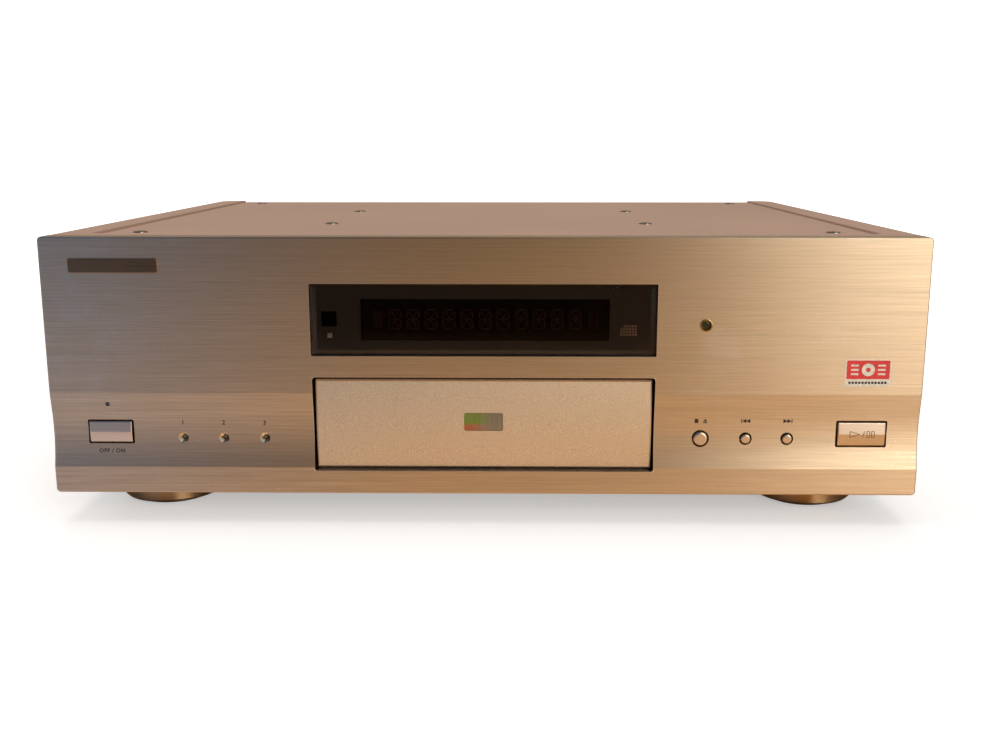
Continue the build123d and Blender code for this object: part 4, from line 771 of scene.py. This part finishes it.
def window_mask():
    """Brown print on the window's back, open at the display and the remote sensor."""
    low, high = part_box("display_window")
    openings = [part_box("remote_sensor"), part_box("vfd_display")]
    inset = 0.3 * MM
    xs = sorted([low[0] + inset, high[0] - inset] + [box[i][0] for box in openings for i in (0, 1)])
    zs = sorted([low[2] + inset, high[2] - inset] + [box[i][2] for box in openings for i in (0, 1)])
    work = bmesh.new()
    corners = {(x, z): work.verts.new((x, high[1] - MARK_LIFT - MARK_DEPTH / 2, z))
               for x in xs for z in zs}
    for x0, x1 in zip(xs, xs[1:]):
        for z0, z1 in zip(zs, zs[1:]):
            x, z = (x0 + x1) / 2, (z0 + z1) / 2
            if any(a[0] < x < b[0] and a[2] < z < b[2] for a, b in openings):
                continue
            work.faces.new([corners[place] for place in ((x0, z0), (x1, z0), (x1, z1), (x0, z1))])
    thicken(work, MARK_LIFT + MARK_DEPTH / 2)
    unused = [vertex for vertex in work.verts if not vertex.link_faces]
    bmesh.ops.delete(work, geom=unused)
    new_piece("window_mask", work, ink_look("brown_print", (0.022, 0.016, 0.013)), "root")


def window_marks():
    """Small square by the remote sensor and a plain gridded mark, printed behind the window."""
    tree = caster("front_frame")
    low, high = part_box("display_window")
    wide = high[0] - low[0]
    tall = high[2] - low[2]
    x = low[0] + 0.053 * wide
    z = low[2] + 0.275 * tall
    half = 1.2 * MM
    work = bmesh.new()
    add_mark(work, tree, [rectangle(x - half, x + half, z - half, z + half)], lift=OVER_MASK)
    new_piece("sensor_square", work, ink_look("grey_print", (0.34, 0.31, 0.28)), "root")
    work = bmesh.new()
    left = low[0] + 0.897 * wide
    bottom = low[2] + 0.28 * tall
    cell = 1.35 * MM
    filled = 0.8 * cell
    rows = 4
    columns = 6
    for row in range(rows):
        for column in range(columns):
            if row == rows - 1 and column == 0:
                continue
            x = left + column * cell
            z = bottom + row * cell
            add_mark(work, tree, [rectangle(x, x + filled, z, z + filled)], lift=OVER_MASK)
    new_piece("window_mark", work, ink_look("tan_print", (0.27, 0.18, 0.12)), "root")


# Coloured insulating rings on the phono sockets

def socket_rings():
    """Rings in the usual colours, one piece a colour. Places are (x, z) in mm."""
    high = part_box("rca_sockets")[1]
    colours = {
        "white": ((0.75, 0.75, 0.72), ((120.0, 45.5), (144.0, 45.5), (-62.0, 55.5))),
        "red": ((0.55, 0.03, 0.03), ((120.0, 67.5), (144.0, 67.5), (-42.0, 55.5))),
        "yellow": ((0.80, 0.58, 0.03), ((-22.0, 55.5),)),
        "orange": ((0.75, 0.25, 0.02), ((4.0, 55.5),)),
    }
    back = high[1] - 9.0 * MM
    inner = 4.2 * MM
    outer = 5.6 * MM
    thick = 0.8 * MM
    steps = 32
    for colour_name, (colour, places) in colours.items():
        work = bmesh.new()
        for x, z in places:
            loops = []
            for radius, y in ((inner, back), (outer, back), (outer, back + thick),
                              (inner, back + thick)):
                loops.append([work.verts.new((
                    x * MM + radius * math.cos(2 * math.pi * step / steps), y,
                    z * MM + radius * math.sin(2 * math.pi * step / steps),
                )) for step in range(steps)])
            for first, second in zip(loops, loops[1:] + loops[:1]):
                for step in range(steps):
                    after = (step + 1) % steps
                    work.faces.new((first[step], first[after], second[after], second[step]))
        bmesh.ops.recalc_face_normals(work, faces=work.faces)
        new_piece(f"socket_rings_{colour_name}", work,
                  plastic_look(f"ring_{colour_name}", colour, 0.35), "root")


# Studio: pale sweep, key lamp at the right, soft top lamp, weak fill at the left

def add_ramp(tree, factor, stops):
    """A colour ramp with the given (position, colour) stops."""
    made = tree.nodes.new("ShaderNodeValToRGB")
    made.color_ramp.interpolation = "EASE"
    while len(made.color_ramp.elements) < len(stops):
        made.color_ramp.elements.new(0.5)
    for element, (position, colour) in zip(made.color_ramp.elements, stops):
        element.position = position
        element.color = rgba(colour)
    tree.links.new(factor, made.inputs["Fac"])
    return made.outputs["Color"]


def add_math(tree, operation, first, second):
    """A math node fed by sockets or plain numbers."""
    made = tree.nodes.new("ShaderNodeMath")
    made.operation = operation
    for socket, value in zip(made.inputs, (first, second)):
        if isinstance(value, bpy.types.NodeSocket):
            tree.links.new(value, socket)
        else:
            socket.default_value = value
    return made.outputs[0]


def add_offset(tree, value, scale):
    """Scales a value and moves its zero to the ramp's middle."""
    return add_math(tree, "ADD", add_math(tree, "MULTIPLY", value, scale), 0.5)


def add_range(tree, value, low, high, to_low=0.0, to_high=1.0):
    """Maps a range of a value smoothly to another range, clamped."""
    made = tree.nodes.new("ShaderNodeMapRange")
    made.interpolation_type = "SMOOTHSTEP"
    tree.links.new(value, made.inputs["Value"])
    made.inputs["From Min"].default_value = low
    made.inputs["From Max"].default_value = high
    made.inputs["To Min"].default_value = to_low
    made.inputs["To Max"].default_value = to_high
    return made.outputs["Result"]


def add_mix(tree, amount, first, second):
    """Mixes two colours, each a socket or a plain colour."""
    made = tree.nodes.new("ShaderNodeMix")
    made.data_type = "RGBA"
    tree.links.new(amount, made.inputs["Factor"])
    for socket, value in ((made.inputs[6], first), (made.inputs[7], second)):
        if isinstance(value, bpy.types.NodeSocket):
            tree.links.new(value, socket)
        else:
            socket.default_value = rgba(value)
    return made.outputs[2]


# What metal mirrors of the room in front: dim on its left, a pale wall on its right.
# Positions run across the view in front of the object, from its left to its right.
# The table is the nearer part of the floor; under the object a painted shadow darkens it.
ROOM_PLAIN = (0.40, 0.34, 0.29)
MIRRORED_SHADOW = (0.06, 0.04, 0.025)
ROOM_STOPS = [
    (0.06, (0.06, 0.21, 0.51)),
    (0.20, (0.02, 0.05, 0.12)),
    (0.30, (0.01, 0.01, 0.01)),
    (0.56, (0.01, 0.01, 0.01)),
    (0.70, (0.12, 0.05, 0.02)),
    (0.86, (0.50, 0.70, 0.85)),
]
TABLE_STOPS = [(0.2, (0.71, 0.67, 0.78)), (0.5, (0.91, 0.63, 0.40)), (0.8, (0.73, 0.36, 0.08))]
ROOM_SPAN = 1.4
WORLD_STRETCH = 1.27
LEAST_AHEAD = 0.05

# Where the mirrored floor changes tone, along Y
ROOM_TO_TABLE = (-0.77, -0.39)
TABLE_TO_MIRRORED_SHADOW = (-0.19, -0.15)
MIRRORED_SHADOW_TO_BEHIND = (0.17, 0.5)

# Floor and backdrop as the camera sees them: own light near the object and far from it
FLOOR_GREY = (0.86, 0.86, 0.86)
NEAR_GLOW = 0.42
GLOW_GROWS = (0.3, 1.8)
PLAIN_LIGHT = 0.38
PLAIN_LIGHT_COLOUR = (1.0, 0.98, 0.96)

# Sweep: half width and front reach, start and radius of its bend, and its top
FLOOR_REACH = 6.0
BEND_START = 2.2
BEND_RADIUS = 0.8
BEND_STEPS = 12
SWEEP_TOP = 4.0


def seen_plainly(tree, path):
    """One for rays from the camera or through glass."""
    return add_math(tree, "MAXIMUM", path.outputs["Is Camera Ray"], path.outputs["Is Transmission Ray"])


def glossy_switch(tree, path, plain, mirrored):
    """Shows glossy rays one shader and all others another."""
    both = tree.nodes.new("ShaderNodeMixShader")
    tree.links.new(path.outputs["Is Glossy Ray"], both.inputs["Fac"])
    tree.links.new(plain.outputs[0], both.inputs[1])
    tree.links.new(mirrored.outputs[0], both.inputs[2])
    return both.outputs[0]


def pale_floor(tree, path, x, y):
    """Pale grey that keeps shadows near the object and turns white away from it."""
    diffuse = tree.nodes.new("ShaderNodeBsdfDiffuse")
    diffuse.inputs["Color"].default_value = rgba(FLOOR_GREY)
    glow = tree.nodes.new("ShaderNodeEmission")
    square = add_math(tree, "ADD", add_math(tree, "MULTIPLY", x, x), add_math(tree, "MULTIPLY", y, y))
    away = add_math(tree, "POWER", square, 0.5)
    level = add_range(tree, away, *GLOW_GROWS, NEAR_GLOW, 1.0)
    tree.links.new(add_math(tree, "MULTIPLY", seen_plainly(tree, path), level), glow.inputs["Strength"])
    pale = tree.nodes.new("ShaderNodeAddShader")
    tree.links.new(diffuse.outputs[0], pale.inputs[0])
    tree.links.new(glow.outputs[0], pale.inputs[1])
    return pale


def stage_look():
    """Pale floor and backdrop, in which metal mirrors the room's tones instead."""
    material = bpy.data.materials.new("studio_sweep")
    material.use_nodes = True
    tree = material.node_tree
    tree.nodes.clear()
    output = tree.nodes.new("ShaderNodeOutputMaterial")
    place = tree.nodes.new("ShaderNodeTexCoord")
    parts = tree.nodes.new("ShaderNodeSeparateXYZ")
    tree.links.new(place.outputs["Object"], parts.inputs[0])
    x = parts.outputs["X"]
    y = parts.outputs["Y"]
    path = tree.nodes.new("ShaderNodeLightPath")
    pale = pale_floor(tree, path, x, y)

    ahead = add_math(tree, "MAXIMUM", add_math(tree, "MULTIPLY", y, -1.0), LEAST_AHEAD)
    across = add_math(tree, "DIVIDE", x, ahead)
    room = add_ramp(tree, add_offset(tree, across, 1.0 / ROOM_SPAN), ROOM_STOPS)
    table = add_ramp(tree, add_offset(tree, x, 1.0), TABLE_STOPS)
    ground = add_mix(tree, add_range(tree, y, *ROOM_TO_TABLE), room, table)
    # Painted shadow of the object on the mirrored floor, from just in front of it to under it
    ground = add_mix(tree, add_range(tree, y, *TABLE_TO_MIRRORED_SHADOW), ground, MIRRORED_SHADOW)
    ground = add_mix(tree, add_range(tree, y, *MIRRORED_SHADOW_TO_BEHIND), ground, ROOM_PLAIN)
    mirrored = tree.nodes.new("ShaderNodeEmission")
    tree.links.new(ground, mirrored.inputs["Color"])
    tree.links.new(glossy_switch(tree, path, pale, mirrored), output.inputs["Surface"])
    return material


def room_world():
    """Plain light, white where the camera sees it, and the room's tones for metal."""
    world = bpy.data.worlds.new("studio_world")
    bpy.context.scene.world = world
    world.use_nodes = True
    tree = world.node_tree
    tree.nodes.clear()
    output = tree.nodes.new("ShaderNodeOutputWorld")
    place = tree.nodes.new("ShaderNodeTexCoord")
    parts = tree.nodes.new("ShaderNodeSeparateXYZ")
    tree.links.new(place.outputs["Generated"], parts.inputs[0])
    path = tree.nodes.new("ShaderNodeLightPath")
    forward = add_math(tree, "MULTIPLY", parts.outputs["Y"], -1.0)
    ahead = add_math(tree, "MAXIMUM", forward, LEAST_AHEAD)
    across = add_math(tree, "DIVIDE", parts.outputs["X"], ahead)
    room = add_ramp(tree, add_offset(tree, across, WORLD_STRETCH / ROOM_SPAN), ROOM_STOPS)
    in_front = add_range(tree, forward, 0.0, 0.3)
    mirrored = tree.nodes.new("ShaderNodeBackground")
    tree.links.new(add_mix(tree, in_front, ROOM_PLAIN, room), mirrored.inputs["Color"])
    plain = tree.nodes.new("ShaderNodeBackground")
    plain.inputs["Color"].default_value = rgba(PLAIN_LIGHT_COLOUR)
    level = add_range(tree, seen_plainly(tree, path), 0.0, 1.0, PLAIN_LIGHT, 1.0)
    tree.links.new(level, plain.inputs["Strength"])
    tree.links.new(glossy_switch(tree, path, plain, mirrored), output.inputs["Surface"])


def sweep():
    """Floor that curves up into a backdrop behind the object."""
    work = bmesh.new()
    profile = [(-FLOOR_REACH, 0.0), (BEND_START, 0.0)]
    for step in range(1, BEND_STEPS + 1):
        angle = math.pi / 2 * step / BEND_STEPS
        profile.append((BEND_START + BEND_RADIUS * math.sin(angle),
                        BEND_RADIUS - BEND_RADIUS * math.cos(angle)))
    profile.append((BEND_START + BEND_RADIUS, SWEEP_TOP))
    rows = []
    for y, z in profile:
        rows.append([work.verts.new((x, y, z)) for x in (-FLOOR_REACH, FLOOR_REACH)])
    for first, second in zip(rows, rows[1:]):
        work.faces.new((first[0], first[1], second[1], second[0]))
    mesh = bpy.data.meshes.new("studio_sweep")
    work.to_mesh(mesh)
    work.free()
    for face in mesh.polygons:
        face.use_smooth = True
    piece = bpy.data.objects.new("studio_sweep", mesh)
    bpy.context.scene.collection.objects.link(piece)
    mesh.materials.append(stage_look())


def lamp(name, place, target, size, power, colour, in_metal):
    """A soft lamp aimed at a place. Metal shows it only where in_metal says so."""
    light = bpy.data.lights.new(name, "AREA")
    light.shape = "RECTANGLE"
    light.size, light.size_y = size
    light.energy = power
    light.color = colour
    holder = bpy.data.objects.new(name, light)
    holder.location = place
    aim = Vector(target) - Vector(place)
    holder.rotation_euler = aim.to_track_quat("-Z", "Y").to_euler()
    holder.visible_glossy = in_metal
    bpy.context.scene.collection.objects.link(holder)


def studio():
    sweep()
    lamp("key_right", (1.25, -1.9, 0.75), (0.05, 0.0, 0.07), (1.3, 1.0), 24.0, (1.0, 0.98, 0.94), True)
    lamp("top_soft", (0.0, 0.5, 2.2), (0.0, 0.0, 0.0), (2.4, 2.4), 22.0, (1.0, 0.95, 0.90), False)
    lamp("fill_left", (-1.6, -0.2, 0.9), (0.0, 0.0, 0.1), (0.8, 0.8), 5.0, (1.0, 0.96, 0.92), False)
    room_world()


def camera():
    """Camera at the photograph's angle."""
    data = bpy.data.cameras.new("photo_camera")
    data.sensor_width = SENSOR_WIDTH
    data.lens = FOCAL_PIXELS * SENSOR_WIDTH / IMAGE_WIDTH
    holder = bpy.data.objects.new("photo_camera", data)
    holder.location = CAMERA_PLACE
    holder.rotation_euler = (math.radians(90.0 - CAMERA_PITCH), math.radians(CAMERA_ROLL),
                             math.radians(CAMERA_YAW))
    bpy.context.scene.collection.objects.link(holder)
    bpy.context.scene.camera = holder


# The order in which everything is made

transport_marks()
play_mark()
status_labels()
power_label()
sticker()
display_segments()
window_mask()
window_marks()
socket_rings()
studio()
camera()
bpy.context.scene.view_settings.view_transform = "Standard"
